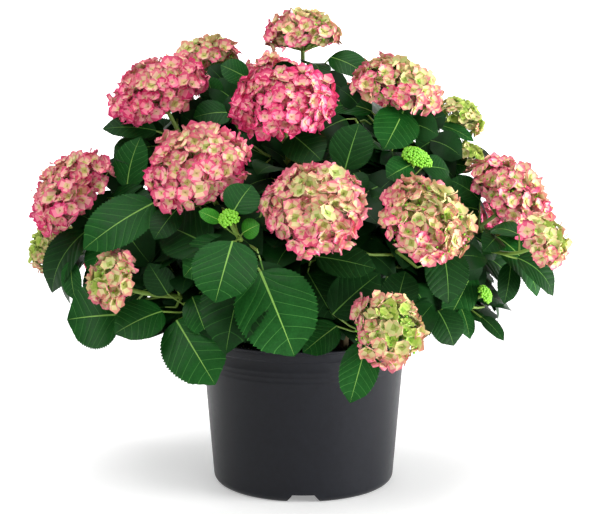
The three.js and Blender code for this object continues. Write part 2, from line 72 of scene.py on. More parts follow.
# Flower heads: centre and radius. A shoot with two heads forks.
FRONT_SHOOTS = {
    "top": [(-1, 30, 586, 55)],
    "upper_left": [(-180, -60, 513, 70)],
    "upper_back": [(-132, 70, 553, 50)],
    "upper_middle": [(-24, -130, 502, 70)],
    "upper_right": [(115, -60, 521, 61)],
    "right_back": [(207, 60, 478, 35), (215, 28, 431, 25)],
    "middle_left": [(-126, -190, 433, 68)],
    "far_left": [(-288, -90, 392, 65), (-328, -20, 318, 36)],
    "middle": [(13, -250, 391, 65)],
    "middle_right": [(143, -210, 372, 63)],
    "far_right": [(263, -50, 377, 70), (288, -165, 343, 41)],
    "low_left": [(-226, -200, 300, 41)],
    "low_right": [(99, -240, 249, 50)],
    "bud_left": [(-85, -265, 383, 13)],
    "bud_right": [(136, -150, 442, 20)],
    "bud_low_right": [(224, -130, 272, 13)],
    "leafy_left": [(-146, -151, 264, 0)],
    "leafy_upper": [(54, -150, 425, 0)],
    "leafy_crown_left": [(-75, -5, 475, 0)],
    "leafy_crown_right": [(62, 25, 500, 0)],
}
REAR_TIERS = {
    "rear_low": {"count": 5, "from": 22, "to": 158, "reach": 274, "height": 322, "radius": 58},
    "rear_high": {"count": 2, "from": 62, "to": 108, "reach": 160, "height": 500, "radius": 56},
    "rear_leafy": {"count": 2, "from": 68, "to": 118, "reach": 190, "height": 395, "radius": 0},
}
REAR_STAGGER = {"rise": (-14, 22), "reach": (6, -16)}

# Leaves that stand out from the crown: blade base, blade tip and width.
BOLD_LEAVES = {
    "top": [((35, 15, 560), (85, -5, 535), 46)],
    "upper_left": [((-185, -70, 470), (-250, -90, 475), 34), ((-190, -65, 450), (-235, -95, 435), 50)],
    "upper_middle": [((-15, -130, 470), (20, -165, 440), 56), ((-70, -60, 535), (-105, -60, 550), 34)],
    "upper_right": [((125, -75, 495), (100, -120, 450), 60), ((115, -80, 495), (110, -105, 465), 34)],
    "right_back": [
        ((180, 30, 420), (220, 20, 415), 40), ((180, 40, 470), (225, 20, 450), 22),
        ((180, 20, 455), (145, 0, 440), 38),
    ],
    "middle_left": [((-180, -170, 390), (-260, -195, 335), 66), ((-150, -185, 385), (-175, -205, 350), 38)],
    "far_left": [((-290, -110, 310), (-285, -110, 260), 28), ((-220, -95, 400), (-205, -95, 465), 48)],
    "middle": [((15, -200, 330), (85, -215, 315), 44), ((5, -165, 305), (35, -190, 250), 48)],
    "middle_right": [((165, -190, 340), (175, -210, 275), 56)],
    "far_right": [((265, -60, 300), (255, -75, 250), 32), ((225, -60, 380), (185, -80, 410), 38)],
    "low_left": [((-225, -150, 250), (-290, -150, 240), 90)],
    "low_right": [
        ((75, -215, 230), (55, -235, 160), 48), ((35, -200, 260), (90, -195, 310), 58),
        ((110, -195, 265), (120, -180, 310), 46), ((40, -195, 245), (0, -210, 215), 42),
    ],
    "bud_left": [
        ((-50, -250, 320), (-10, -275, 225), 98), ((-80, -285, 360), (-95, -320, 295), 76),
        ((-80, -260, 390), (-60, -245, 420), 46), ((-95, -260, 380), (-120, -260, 390), 18),
        ((-110, -215, 345), (-170, -160, 360), 70), ((-70, -255, 365), (-50, -258, 375), 26),
    ],
    "bud_right": [((130, -155, 435), (100, -170, 420), 38), ((145, -135, 430), (180, -110, 425), 34)],
    "bud_low_right": [
        ((195, -135, 255), (205, -150, 220), 22), ((220, -140, 245), (245, -160, 220), 20),
        ((165, -150, 255), (185, -165, 215), 46), ((210, -110, 295), (175, -140, 235), 42),
    ],
    "leafy_left": [
        ((-155, -160, 245), (-105, -200, 175), 80), ((-170, -180, 260), (-225, -210, 238), 56),
        ((-165, -160, 277), (-185, -170, 318), 38), ((-135, -165, 275), (-115, -180, 230), 40),
    ],
    "leafy_upper": [((50, -160, 430), (65, -150, 485), 54), ((60, -165, 425), (75, -175, 405), 24)],
    "leafy_crown_left": [((-95, -25, 490), (-140, -45, 485), 42), ((-115, -10, 505), (-125, -10, 535), 34)],
}

# ---------------- sizes of what the solids leave to the looks

INNER = {
    "twigs": 20,  # tried on each shoot
    "from": 0.2, "to": 0.9, "turn": 137.5, "spread": (45, 80), "rise": (-0.2, 0.3), "length": (26, 60),
    "pairs": (1, 0.5), "scatter": (-20, 20), "outward": 0.85, "onward": 0.5, "petiole": 0.6,
    "leave": 0.4, "arrive": 0.3, "upturn": 0.4, "leaf": (56, 88), "hang": (0.2, 0.9), "seed": 40,
    "blend": 0.32,  # how far round, in radians, the crown's reach is evened out
    "depth": 0.96,  # share of the reach that side twigs keep to
    "skirt": 212, "head_room": 0.8, "soil_room": 6,
}
# Places on a stem that a leaf placed by name may spring from: where they start, how close and how many.
ROOTS = {"from": 0.06, "steps": 50, "tried": 24}
# Dark leaves deeper in, where the solids leave sky and the crown is closed, written in the same way.
DEEP_LEAVES = {
    "far_left": [
        ((-208, -70, 398), (-254, -78, 430), 50), ((-212, -60, 372), (-262, -66, 366), 46),
        ((-196, -50, 420), (-228, -52, 452), 44), ((-222, -80, 388), (-268, -90, 352), 46),
        ((-258, -64, 346), (-298, -64, 374), 42),
    ],
    "upper_left": [
        ((-128, -20, 470), (-160, -22, 456), 44), ((-118, -14, 484), (-96, -12, 512), 42),
        ((-170, -30, 450), (-214, -30, 432), 46), ((-122, -34, 462), (-158, -40, 486), 40),
        ((-92, -6, 480), (-146, -8, 498), 46), ((-104, -10, 462), (-140, -12, 474), 40),
        ((-84, -8, 500), (-124, -8, 526), 40), ((-132, -20, 474), (-172, -26, 502), 42),
    ],
    "upper_right": [
        ((108, -34, 504), (150, -36, 490), 42), ((130, -40, 478), (172, -44, 462), 46),
        ((70, -40, 500), (44, -40, 520), 36),
    ],
    "upper_back": [
        ((-98, 20, 520), (-124, 18, 548), 38), ((-104, 34, 508), (-70, 30, 528), 42),
        ((-112, 40, 500), (-92, 36, 474), 42),
    ],
    "top": [((-6, 40, 540), (-46, 30, 532), 38), ((20, 40, 530), (60, 36, 512), 44)],
    "right_back": [
        ((166, 10, 452), (208, 4, 430), 48), ((158, 6, 432), (196, 0, 402), 52),
        ((150, 10, 470), (186, 6, 486), 40), ((186, 16, 400), (214, 6, 372), 46),
    ],
    "far_right": [((214, -30, 352), (196, -30, 396), 46), ((222, -20, 330), (250, -26, 300), 44)],
    "low_left": [((-180, -110, 300), (-216, -116, 336), 48), ((-190, -100, 290), (-236, -100, 300), 46)],
    "leafy_left": [((-150, -110, 290), (-176, -116, 258), 48), ((-176, -112, 320), (-206, -114, 352), 44)],
}
BOLD_ARCH = 0.6  # bold leaves lie flatter than the others
TO_THE_FRONT = 2  # how far leaves placed by name turn their faces to the front
TO_THE_LIGHT = 0.7  # and how far the other leaves do
LIT_DEPTH = 40  # leaves further back than this don't turn
# The room in front of a bold leaf, or of a flower head smaller than this, that other leaves keep out of.
SIGHT = {"side": 14, "depth": 8, "head": 45}

FLORET = {"size": 11.1, "spacing": 11.8, "inset": 8, "sink": 8, "tilt": 36}
DEEP_FLORET = {"size": 11.4, "spacing": 14.8, "inset": 20, "sink": 5, "tilt": 30}
SMALL_FLORET = {"size": 7.5, "spacing": 8, "inset": 3, "sink": 4, "tilt": 30}
FERTILE_BEAD = {"size": 1.7, "spacing": 8, "inset": 10, "sink": 5, "tilt": 20}
BEAD = {"size": 2.3, "spacing": 3.0, "inset": 1.5, "sink": 1, "tilt": 20}
SHAPES = 6  # how many forms a leaf, a floret, a bud or a crumb comes in
TINTS = 6  # from lime to deep rose

# How rosy each flower head is on its left and on its right, from 0 for lime to 1 for deep rose.
ROSINESS = {
    "top": (0.58, 0.32), "upper_left": (0.82, 0.62), "upper_back": (0.5, 0.44),
    "upper_middle": (0.94, 0.86), "upper_right": (0.56, 0.4), "right_back": (0.12, 0.08),
    "middle_left": (0.72, 0.58), "far_left": (0.74, 0.56), "middle": (0.62, 0.5),
    "middle_right": (0.56, 0.34), "far_right": (0.42, 0.72), "low_left": (0.42, 0.32),
    "low_right": (0.4, 0.28),
}
SECOND_HEAD_ROSINESS = {"right_back": (0.08, 0.05), "far_left": (0.12, 0.02), "far_right": (0.45, 0.3)}
REAR_ROSINESS = (0.72, 0.58)
SMALL_ROSINESS = 0.3  # a flower head up to this rosy is small and lime
CLOSED_RADIUS = 22  # and one below this size is a closed bud
CREAMY = 0.5  # below this a flower head has fertile beads among its florets
ROSY_RIM = 0.3  # how much rosier a flower head is round its rim than on its crown
TINT_SCATTER = 0.34  # how much the florets of one flower head differ in tint
SIZE_SCATTER = (0.82, 1.12)  # and in size
CROWDING = {"florets": 12.0, "crumbs": 4.0}  # how densely they are strewn before those too close go
PLANT_SEED = 11

# Thickness of the green stems and of the stalks under the leaves and florets, each from foot to tip.
TWIG_RADII = (2.2, 1.5)
TWIG_PETIOLE = (1.2, 1.0)
DEEP_PETIOLE = (1.4, 1.1)
FLORET_STALK = (0.9, 0.6)
BUD_STALK = (0.7, 0.4)
PETIOLE = {"foot": 1.9, "radius": 1.5, "sag": 0.06, "sunk": 1.5}
KEEL = {"at": (0, 0.1, 0.2, 0.3), "end": 0.31, "sunk": 0.9}  # the petiole's run under the blade
COLLAR = {"rise": 1.1, "fade": 14}
JOINTS = ((0.7, 0.97, 0.04), (0.5, 0.5, 0.05))  # a cane's swellings: how thick, where and how long

# ---------------- small tools

UP = np.array([0.0, 0.0, 1.0])
FRONTWARD = np.array([0.0, -1.0, 0.3])


def unit(v):
    return v / np.linalg.norm(v)


def mix(a, b, share):
    return a + (b - a) * share


def drawn(random, span):
    """A place in a span, by the next number of a stream."""
    return mix(*span, next(random))


def dice(seed):
    """A seeded stream of numbers from 0 to 1, the same as the solids were grown with."""
    state = seed & 0xFFFFFFFF
    while True:
        state = (state + 0x6D2B79F5) & 0xFFFFFFFF
        t = state
        t = ((t ^ (t >> 15)) * (t | 1)) & 0xFFFFFFFF
        t ^= (t + (((t ^ (t >> 7)) * (t | 61)) & 0xFFFFFFFF)) & 0xFFFFFFFF
        yield ((t ^ (t >> 14)) & 0xFFFFFFFF) / 4294967296


def square_to(axis):
    """Two directions square to an axis, the first of them level."""
    level = np.cross(UP, axis)
    level = unit(level) if level @ level > 1e-6 else np.array([1.0, 0.0, 0.0])
    return level, unit(np.cross(axis, level))


def around(stem, angle):
    """The direction square to a stem at an angle round it."""
    level, other = square_to(stem)
    return level * math.cos(angle) + other * math.sin(angle)


class Stem:
    """A cubic curve that is measured along its length."""

    STEPS = np.linspace(0, 1, 201)

    def __init__(self, start, leave, arrive, end):
        self.knots = np.array([start, leave, arrive, end])
        marks = np.linalg.norm(np.diff(self.place(self.STEPS), axis=0), axis=1)
        self.marks = np.concatenate([[0], np.cumsum(marks)])
        self.length = self.marks[-1]

    def place(self, t):
        t = np.asarray(t, float)[..., None]
        a, b, c, d = self.knots
        return (1 - t) ** 3 * a + 3 * t * (1 - t) ** 2 * b + 3 * t**2 * (1 - t) * c + t**3 * d

    def measured(self, share):
        return np.interp(share * self.length, self.marks, self.STEPS)

    def at(self, share):
        return self.place(self.measured(share))

    def way(self, share):
        t = self.measured(share)
        return unit(self.place(min(t + 1e-4, 1)) - self.place(max(t - 1e-4, 0)))


# ---------------- the plan of the shrub


def shoot_list():
    """Every shoot's name, flower heads and leaf spacing: the front by name, the rear in tiers."""
    listed = [(name, heads, LEAF["pair_spacing"]) for name, heads in FRONT_SHOOTS.items()]
    for label, tier in REAR_TIERS.items():
        for i in range(tier["count"]):
            turn = math.radians(tier["from"] + (tier["to"] - tier["from"]) * i / (tier["count"] - 1))
            rise = tier["height"] + REAR_STAGGER["rise"][i % 2]
            reach = tier["reach"] + REAR_STAGGER["reach"][i % 2]
            head = (reach * math.cos(turn), reach * math.sin(turn), rise, tier["radius"])
            listed.append((f"{label}_{i + 1}", [head], LEAF["rear_spacing"]))
    return listed


def stool_feet(listed):
    """Each cane leaves the soil below the way it leans, and crowded feet shoulder each other apart."""
    feet = []
    for _, heads, _ in listed:
        fan = unit(np.array(heads[0][:3], float) - CROWN_FOCUS)
        feet.append(np.array([fan[0] * STOOL["radius"], fan[1] * STOOL["radius"], SOIL_TOP + CLEARANCE]))
    for _ in range(STOOL["rounds"]):
        for i, one in enumerate(feet):
            for other in feet[i + 1 :]:
                apart = other - one
                lack = STOOL["spacing"] - np.linalg.norm(apart)
                if lack > 0:
                    push = unit(apart) * lack / 2
                    other += push
                    one -= push
    return feet


def stem_curve(start, way, head, rise, settle):
    """A stem sets out one way and ends inside its flower head, in line with the head's axis."""
    end = head["centre"] - head["axis"] * HEAD["under"] * head["radius"] / 2
    run = np.linalg.norm(end - start)
    return Stem(start, start + way * run * rise, end - head["axis"] * run * settle, end)


def plan_shoot(index, name, heads, spacing, foot):
    planned = []
    for x, y, z, radius in heads:
        centre = np.array([x, y, z], float)
        axis = unit(unit(centre - CROWN_FOCUS) + UP * HEAD["lean"])
        planned.append({"centre": centre, "axis": axis, "radius": radius})
    curve = stem_curve(foot, UP, planned[0], CANE["rise"], CANE["settle"])
    twigs = [
        stem_curve(curve.at(FORK["at"]), curve.way(FORK["at"]), second, FORK["rise"], FORK["settle"])
        for second in planned[1:]
    ]
    shoot = {"index": index, "name": name, "spacing": spacing}
    return {**shoot, "heads": planned, "curve": curve, "twigs": twigs}


def bell(u, foot, end, share=1):
    """Rises from 0 to a share and falls to 0 again, more bluntly where the end's number is lower."""
    widest = foot / (foot + end)
    return share * u**foot * (1 - u) ** end / (widest**foot * (1 - widest) ** end)


def blade_outline(u):
    """The blade's width at a share of its length, against its widest."""
    return bell(u, 0.5, 0.85)


def plan_leaf(root, base, tip, facing, width):
    length = np.linalg.norm(tip - base)
    chord = unit(tip - base)
    normal = unit(facing - chord * (facing @ chord))
    crest = (base + tip) / 2 + normal * 2 * LEAF["sag"] * length
    return {
        "root": root, "base": base, "tip": tip, "crest": crest, "chord": chord, "normal": normal,
        "across": unit(np.cross(chord, normal)), "width": width, "length": length, "arch": 1,
    }


def midrib_point(leaf, u):
    return (1 - u) ** 2 * leaf["base"] + 2 * u * (1 - u) * leaf["crest"] + u**2 * leaf["tip"]


def midrib_lift(leaf, u):
    along = (1 - u) * (leaf["crest"] - leaf["base"]) + u * (leaf["tip"] - leaf["crest"])
    return unit(np.cross(leaf["across"], along))


def blade_point(leaf, u, side):
    half = 0.5 * blade_outline(u) * leaf["width"]
    lift = midrib_lift(leaf, u) * abs(side) * half * LEAF["cup"]
    return midrib_point(leaf, u) + leaf["across"] * side * half + lift


def facing_at(p):
    """The way a leaf at a place on the crown faces: up and outwards."""
    return unit(unit(np.array([p[0], p[1], 0.0])) * LEAF["outward"] + UP)


def placed_leaves(shoot, table):
    """The leaves that a table gives a shoot, each from the nearest place on its stem, to face the front."""
    first = HANDOVER + ROOTS["from"]
    roots = [shoot["curve"].at(first + i / ROOTS["steps"]) for i in range(ROOTS["tried"])]
    leaves = []
    for base, tip, width in table.get(shoot["name"], []):
        foot = np.array(base, float)
        root = min(roots, key=lambda p: np.linalg.norm(p - foot))
        facing = facing_at(foot) + FRONTWARD * TO_THE_FRONT
        leaves.append(plan_leaf(root, foot, np.array(tip, float), facing, width))
    return leaves


def crown_balls(shoots):
    """Balls along each shoot, in its flower heads and over its bold leaves. They share out the crown."""
    owners, centres, radii = [], [], []
    for shoot in shoots:
        balls = []
        for run in [shoot["curve"], *shoot["twigs"]]:
            balls += [(run.at(i / (SPACE["along"] - 1)), SPACE["stem"]) for i in range(SPACE["along"])]
        balls += [(head["centre"], head["radius"] * SPACE["head"]) for head in shoot["heads"]]
        for leaf in placed_leaves(shoot, BOLD_LEAVES):
            for u in (0.1, 0.35, 0.6, 0.85):
                balls += [(blade_point(leaf, u, side), SPACE["blade"]) for side in (-0.7, 0, 0.7)]
        owners += [shoot["index"]] * len(balls)
        centres += [centre for centre, _ in balls]
        radii += [radius for _, radius in balls]
    return np.array(owners), np.array(centres), np.array(radii)


def has_room(points, shoot, balls):
    """Whether all of some points lie in a shoot's own space, clear of its flower heads and of the pot."""
    skirts = np.where(points[:, 1] < 0, LEAF["skirt"], LEAF["rear_skirt"])
    if (points[:, 2] <= skirts).any():
        return False
    above, beside = points[:, 2] - POT["height"], np.hypot(points[:, 0], points[:, 1]) - POT["lip_radius"]
    if (np.maximum(above, beside) <= LEAF["room"]).any():
        return False
    for head in shoot["heads"]:
        offset = points - head["centre"]
        height = offset @ head["axis"]
        across = np.sqrt(np.maximum(0, (offset**2).sum(1) - height**2))
        deep = np.where(height > 0, HEAD["dome"], HEAD["under"]) * head["radius"] + HEAD["skin"]
        if ((across / (head["radius"] + HEAD["skin"])) ** 2 + (height / deep) ** 2 < 1).any():
            return False
    owners, centres, radii = balls
    gaps = np.linalg.norm(points[:, None] - centres, axis=2) - radii
    own = owners == shoot["index"]
    return bool((gaps[:, ~own].min(1) - gaps[:, own].min(1) > LEAF["room"]).all())


# What a leaf tries in turn until it has room: smaller sizes, turns about its stem, and more or less hang.
SIZES = (1, 0.85, 0.7, 0.6)
TURNS = (0, 20, -20, 40, -40)
HANGS = (0, 0.4, -0.45)


def grow_leaf(shoot, balls, curve, share, angle, length, spread):
    """The first leaf at a place on a stem that has room, or none."""
    root, stem = curve.at(share), curve.way(share)
    for size, turn, hang in itertools.product(SIZES, TURNS, HANGS):
        way = around(stem, math.radians(angle + turn)) * math.sin(spread) + stem * math.cos(spread)
        base = root + way * (LEAF["petiole"] * size + LEAF["collar"])
        hung = unit(way - UP * (LEAF["weight"] + hang))
        tip = base + hung * length * size
        leaf = plan_leaf(root, base, tip, facing_at(base), length * size * LEAF["slimness"])
        tests = [mix(root, base, 0.7)]
        tests += [blade_point(leaf, u / 5, side) for u in range(6) for side in (-1, 0, 1)]
        if has_room(np.array(tests), shoot, balls):
            return leaf
    return None


def leaves_along(shoot, balls, curve, bare, head, random, scale=1):
    """Crossed pairs of leaves down a stem, from its tip to where its bare share ends."""
    first = LEAF["first_pair"] + head["radius"] * LEAF["head_room"]
    roll = drawn(random, SCATTER["roll"])
    leaves, pair = [], 0
    while first + pair * shoot["spacing"] < curve.length * (1 - bare) - 2 * LEAF["collar"]:
        share = 1 - (first + pair * shoot["spacing"]) / curve.length
        for half in (0, 180):
            young = LEAF["young_size"] if pair == 0 else 1
            size = LEAF["length"] * scale * young * drawn(random, SCATTER["size"])
            angle = roll + 90 * pair + half + drawn(random, SCATTER["turn"])
            spread = math.radians(LEAF["spread"] + drawn(random, SCATTER["spread"]))
            leaf = grow_leaf(shoot, balls, curve, share, angle, size, spread)
            if leaf:
                leaf["young"] = pair == 0
                leaves.append(leaf)
        pair += 1
    return leaves


def crown_reach(shoots):
    """How far the crown reaches from its focus towards each flower head or leafy tip."""
    ends = np.array([head["centre"] for shoot in shoots for head in shoot["heads"]]) - CROWN_FOCUS
    far = np.linalg.norm(ends, axis=1)
    return ends / far[:, None], far


def inside_crown(points, shoots, reach):
    """Whether points lie well under the crown's skin, above the soil and rim, and in no flower head."""
    offsets = points - CROWN_FOCUS
    far = np.linalg.norm(offsets, axis=1)
    ways, lengths = reach
    angles = np.arccos(np.clip((offsets / far[:, None]) @ ways.T, -1, 1))
    weights = np.exp(-((angles / INNER["blend"]) ** 2)) + 1e-9
    skin = (weights @ lengths) / weights.sum(1)
    if (far > skin * INNER["depth"]).any():
        return False
    beside = np.hypot(points[:, 0], points[:, 1])
    floor = np.where(beside < POT["foot"], SOIL_TOP + INNER["soil_room"], INNER["skirt"])
    if (points[:, 2] < floor).any():
        return False
    for head in [head for shoot in shoots for head in shoot["heads"]]:
        away = np.linalg.norm(points - head["centre"], axis=1)
        if (away < head["radius"] * INNER["head_room"]).any():
            return False
    return True


def side_twigs(shoot, shoots, reach):
    """Short leafy side twigs, carried on from a stem by the same crossed pairs into the crown's depth."""
    random = dice(INNER["seed"] + shoot["index"])
    twigs = []
    roll = drawn(random, (0, 360))
    for i in range(INNER["twigs"]):
        share = mix(INNER["from"], INNER["to"], (i + next(random)) / INNER["twigs"])
        root, stem = shoot["curve"].at(share), shoot["curve"].way(share)
        spread = math.radians(drawn(random, INNER["spread"]))
        out = around(stem, math.radians(roll + INNER["turn"] * i))
        way = out * math.sin(spread) + stem * math.cos(spread)
        length = drawn(random, INNER["length"])
        end = root + way * length + UP * drawn(random, INNER["rise"]) * length
        arrive = end - unit(way + UP * INNER["upturn"]) * length * INNER["arrive"]
        twig = Stem(root, root + way * length * INNER["leave"], arrive, end)
        if not inside_crown(twig.at(np.linspace(0.4, 1, 4)), shoots, reach):
            continue
        leaves = []
        for pair, along in enumerate(INNER["pairs"]):
            for half in (0, 180):
                angle = math.radians(roll + 90 * pair + half + drawn(random, INNER["scatter"]))
                out = around(twig.way(along), angle) * INNER["outward"] + twig.way(along) * INNER["onward"]
                size = drawn(random, INNER["leaf"])
                foot = twig.at(along)
                base = foot + unit(out) * LEAF["petiole"] * INNER["petiole"]
                tip = base + unit(out - UP * drawn(random, INNER["hang"])) * size
                leaf = plan_leaf(foot, base, tip, facing_at(base), size * LEAF["slimness"])
                tests = [blade_point(leaf, u, side) for u in (0.2, 0.6, 1) for side in (-1, 1)]
                if inside_crown(np.array(tests), shoots, reach):
                    leaf["along"] = along
                    leaves.append(leaf)
        if leaves:
            twigs.append((twig, leaves))
    return twigs


def flatten(leaf, arch):
    """Keeps a share of a leaf's arch."""
    leaf["arch"] = arch
    leaf["crest"] = mix((leaf["base"] + leaf["tip"]) / 2, leaf["crest"], arch)


def turned_to_light(leaf):
    """The same leaf, rolled about its midrib so that its face shows more to the front."""
    if leaf["base"][1] > LIT_DEPTH:
        return leaf
    facing = facing_at(leaf["base"]) + FRONTWARD * TO_THE_LIGHT
    rolled = plan_leaf(leaf["root"], leaf["base"], leaf["tip"], facing, leaf["width"])
    return {**leaf, **rolled}


def keeps_clear(leaf, shown):
    """Whether a leaf leaves bold leaves and small flower heads in sight, and doesn't lie against them."""
    points = np.array([midrib_point(leaf, u) for u in (0.2, 0.4, 0.6, 0.8, 1)])
    offsets = points[:, None] - shown
    before = offsets[:, :, 1] < SIGHT["depth"]
    beside = np.hypot(offsets[:, :, 0], offsets[:, :, 2]) < SIGHT["side"]
    return (before & beside).any(1).sum() < 2


def places_shown(shoots):
    """Places on the bold leaves and on the small flower heads, which other leaves leave in sight."""
    shown = [
        blade_point(leaf, u, side)
        for shoot in shoots
        for leaf in placed_leaves(shoot, BOLD_LEAVES)
        for u in (0.15, 0.35, 0.55, 0.75, 0.9)
        for side in (-0.7, 0, 0.7)
    ]
    for head in [head for shoot in shoots for head in shoot["heads"] if 0 < head["radius"] < SIGHT["head"]]:
        for x, z in ((0, 0), (1, 0), (-1, 0), (0, 1), (0, -1)):
            shown.append(head["centre"] + np.array([x, 0, z]) * 0.85 * head["radius"])
    return np.array(shown)


def plan_shrub():
    listed = shoot_list()
    feet = stool_feet(listed)
    shoots = [plan_shoot(i, *row, feet[i]) for i, row in enumerate(listed)]
    balls = crown_balls(shoots)
    for shoot in shoots:
        random = dice(FIRST_SEED + shoot["index"])
        start = HANDOVER + CLEARANCE / shoot["curve"].length
        shoot["bold"] = placed_leaves(shoot, BOLD_LEAVES)
        shoot["leaves"] = leaves_along(shoot, balls, shoot["curve"], start, shoot["heads"][0], random)
        for twig in shoot["twigs"]:
            shoot["leaves"] += leaves_along(
                shoot, balls, twig, FORK["bare"], shoot["heads"][1], random, LEAF["fork_size"]
            )
    shown = places_shown(shoots)
    reach = crown_reach(shoots)
    for shoot in shoots:
        for leaf in shoot["bold"]:
            flatten(leaf, BOLD_ARCH)
        rolled = [turned_to_light(leaf) for leaf in shoot["leaves"]]
        shoot["leaves"] = [leaf for leaf in rolled if keeps_clear(leaf, shown)]
        shoot["deep_leaves"] = placed_leaves(shoot, DEEP_LEAVES)
        kept = [
            (twig, [leaf for leaf in leaves if keeps_clear(leaf, shown)])
            for twig, leaves in side_twigs(shoot, shoots, reach)
        ]
        shoot["side_twigs"] = [(twig, leaves) for twig, leaves in kept if leaves]
    return shoots


# ---------------- finishes


def colour(red, green, blue):
    """A screen colour from 0 to 255 as Blender's linear light."""
    shares = [c / 255 for c in (red, green, blue)]
    return (*[s / 12.92 if s <= 0.04045 else ((s + 0.055) / 1.055) ** 2.4 for s in shares], 1)


def shade_of(base, share):
    """The same colour, darker or lighter."""
    return (*[c * share for c in base[:3]], 1)


def fill(tree, made, inputs):
    """Links or sets the inputs of a node."""
    for key, value in inputs.items():
        if isinstance(value, bpy.types.NodeSocket):
            tree.links.new(value, made.inputs[key])
        else:
            made.inputs[key].default_value = value


def node(tree, kind, inputs=None, output=0, **settings):
    """Adds a node, fills its inputs and gives one of its outputs."""
    made = tree.nodes.new(kind)
    for key, value in settings.items():
        setattr(made, key, value)
    fill(tree, made, inputs or {})
    return made.outputs[output]


def plain_finish(name, base, roughness, specular=0.5, sheen=0):
    material = bpy.data.materials.new(name)
    material.use_nodes = True
    looks = {
        "Base Color": base, "Roughness": roughness, "Specular IOR Level": specular, "Sheen Weight": sheen,
    }
    fill(material.node_tree, material.node_tree.nodes["Principled BSDF"], looks)
    return material


BROAD_GRAIN = 0.12  # how fine the clouds in a finish are, as a share of its grain


def grained_finish(name, dark, light, roughness, grain, bump, stretch=(1, 1, 1), specular=0.5):
    """A finish whose colour, gloss and relief wander with a grain of so many millimetres."""
    material = plain_finish(name, light, roughness[1], specular)
    tree = material.node_tree
    place = node(tree, "ShaderNodeTexCoord", output="Object")
    along = node(tree, "ShaderNodeMapping", {"Vector": place, "Scale": stretch})
    fine = node(tree, "ShaderNodeTexNoise", {"Vector": along, "Scale": 1 / (grain * MM), "Detail": 6.0})
    coarse = BROAD_GRAIN / (grain * MM)
    broad = node(tree, "ShaderNodeTexNoise", {"Vector": along, "Scale": coarse, "Detail": 3.0})
    both = node(tree, "ShaderNodeMix", {"Factor": 0.5, 2: fine, 3: broad}, data_type="FLOAT")
    spread = node(tree, "ShaderNodeMapRange", {"Value": both, "From Min": 0.35, "From Max": 0.65})
    gloss = {"Value": spread, "To Min": roughness[0], "To Max": roughness[1]}
    shades = {"Factor": spread, 6: dark, 7: light}
    looks = {
        "Base Color": node(tree, "ShaderNodeMix", shades, 2, data_type="RGBA"),
        "Roughness": node(tree, "ShaderNodeMapRange", gloss),
        "Normal": node(tree, "ShaderNodeBump", {"Height": fine, "Strength": 0.6, "Distance": bump * MM}),
    }
    fill(tree, tree.nodes["Principled BSDF"], looks)
    return material


# Leaves by age, oldest first, in screen colours: the blade, its side veins and its midrib.
LEAF_COLOURS = {
    "old": ((13, 46, 15), (26, 66, 23), (62, 102, 42)),
    "full": ((14, 53, 15), (38, 84, 32), (92, 138, 60)),
    "fresh": ((20, 72, 22), (56, 110, 46), (122, 168, 78)),
    "young": ((48, 120, 28), (88, 152, 52), (156, 198, 92)),
}
# Florets from lime to deep rose: the sepal's throat, its middle, its margin and the floret's eye.
SEPAL_COLOURS = {
    "lime": ((128, 166, 50), (162, 190, 78), (184, 200, 102), (130, 170, 54)),
    "celadon": ((156, 174, 84), (198, 204, 132), (214, 192, 138), (148, 166, 74)),
    "cream": ((166, 176, 86), (220, 210, 154), (224, 158, 138), (148, 152, 68)),
    "blush": ((190, 186, 106), (230, 194, 160), (228, 126, 142), (160, 152, 74)),
    "pink": ((222, 196, 142), (244, 174, 172), (226, 92, 132), (180, 160, 90)),
    "rose": ((228, 178, 156), (242, 134, 160), (214, 56, 114), (186, 150, 100)),
}
LEAF_FINISH = {"roughness": 0.48, "specular": 0.12}
BLADE_GRAIN = {"roughness": (0.4, 0.56), "grain": 2.2, "bump": 0.12, "specular": LEAF_FINISH["specular"]}
BLADE_SHADES = (0.72, 1.2)  # the darkest and lightest of a blade's grain, against its colour
SEPAL_FINISH = {"roughness": 0.6, "specular": 0.25, "sheen": 0.15}


def leaf_finishes():
    """Three for each age: blade, side veins and midrib."""
    listed = []
    for age, colours in LEAF_COLOURS.items():
        blade, vein, midrib = [colour(*c) for c in colours]
        shades = [shade_of(blade, share) for share in BLADE_SHADES]
        listed.append(grained_finish(f"{age}_leaf_blade", *shades, **BLADE_GRAIN))
        listed.append(plain_finish(f"{age}_leaf_vein", vein, **LEAF_FINISH))
        listed.append(plain_finish(f"{age}_leaf_midrib", midrib, **LEAF_FINISH))
    return listed


def floret_finishes():
    """Five for each tint: throat, middle and margin of the sepals, the eye, and the stalk."""
    stalk = plain_finish("flower_stalk", colour(150, 170, 90), 0.6)
    listed = []
    for tint, (*sepal, eye) in SEPAL_COLOURS.items():
        for part, base in zip(("throat", "middle", "margin"), sepal):
            listed.append(plain_finish(f"{tint}_sepal_{part}", colour(*base), **SEPAL_FINISH))
        listed += [plain_finish(f"{tint}_floret_eye", colour(*eye), 0.5), stalk]
    return listed


def bud_finishes():
    """Beads with a painted highlight and beads in painted shade, each listed twice to fill the places of a
    floret's parts, and the stalk.
    """
    # the bud_bead green is a painted highlight for the beads' upper faces, the bud_bead_shaded green
    # painted shade for their lower faces
    lit = plain_finish("bud_bead", colour(126, 196, 44), 0.45)
    deep = plain_finish("bud_bead_shaded", colour(88, 160, 30), 0.5)
    stalk = plain_finish("bud_stalk", colour(104, 158, 48), 0.5)
    return [lit, deep, lit, deep, stalk]


# ---------------- geometry node trees


# Zones of a leaf and of a floret, in the order of their finishes.
BLADE_ZONE, VEIN_ZONE, RIB_ZONE = range(3)
THROAT_ZONE, MIDDLE_ZONE, MARGIN_ZONE, EYE_ZONE, STALK_ZONE = range(5)
LEAF_ZONES, FLORET_ZONES = 3, 5


def spoken(label):
    return label.replace("_", " ").capitalize()


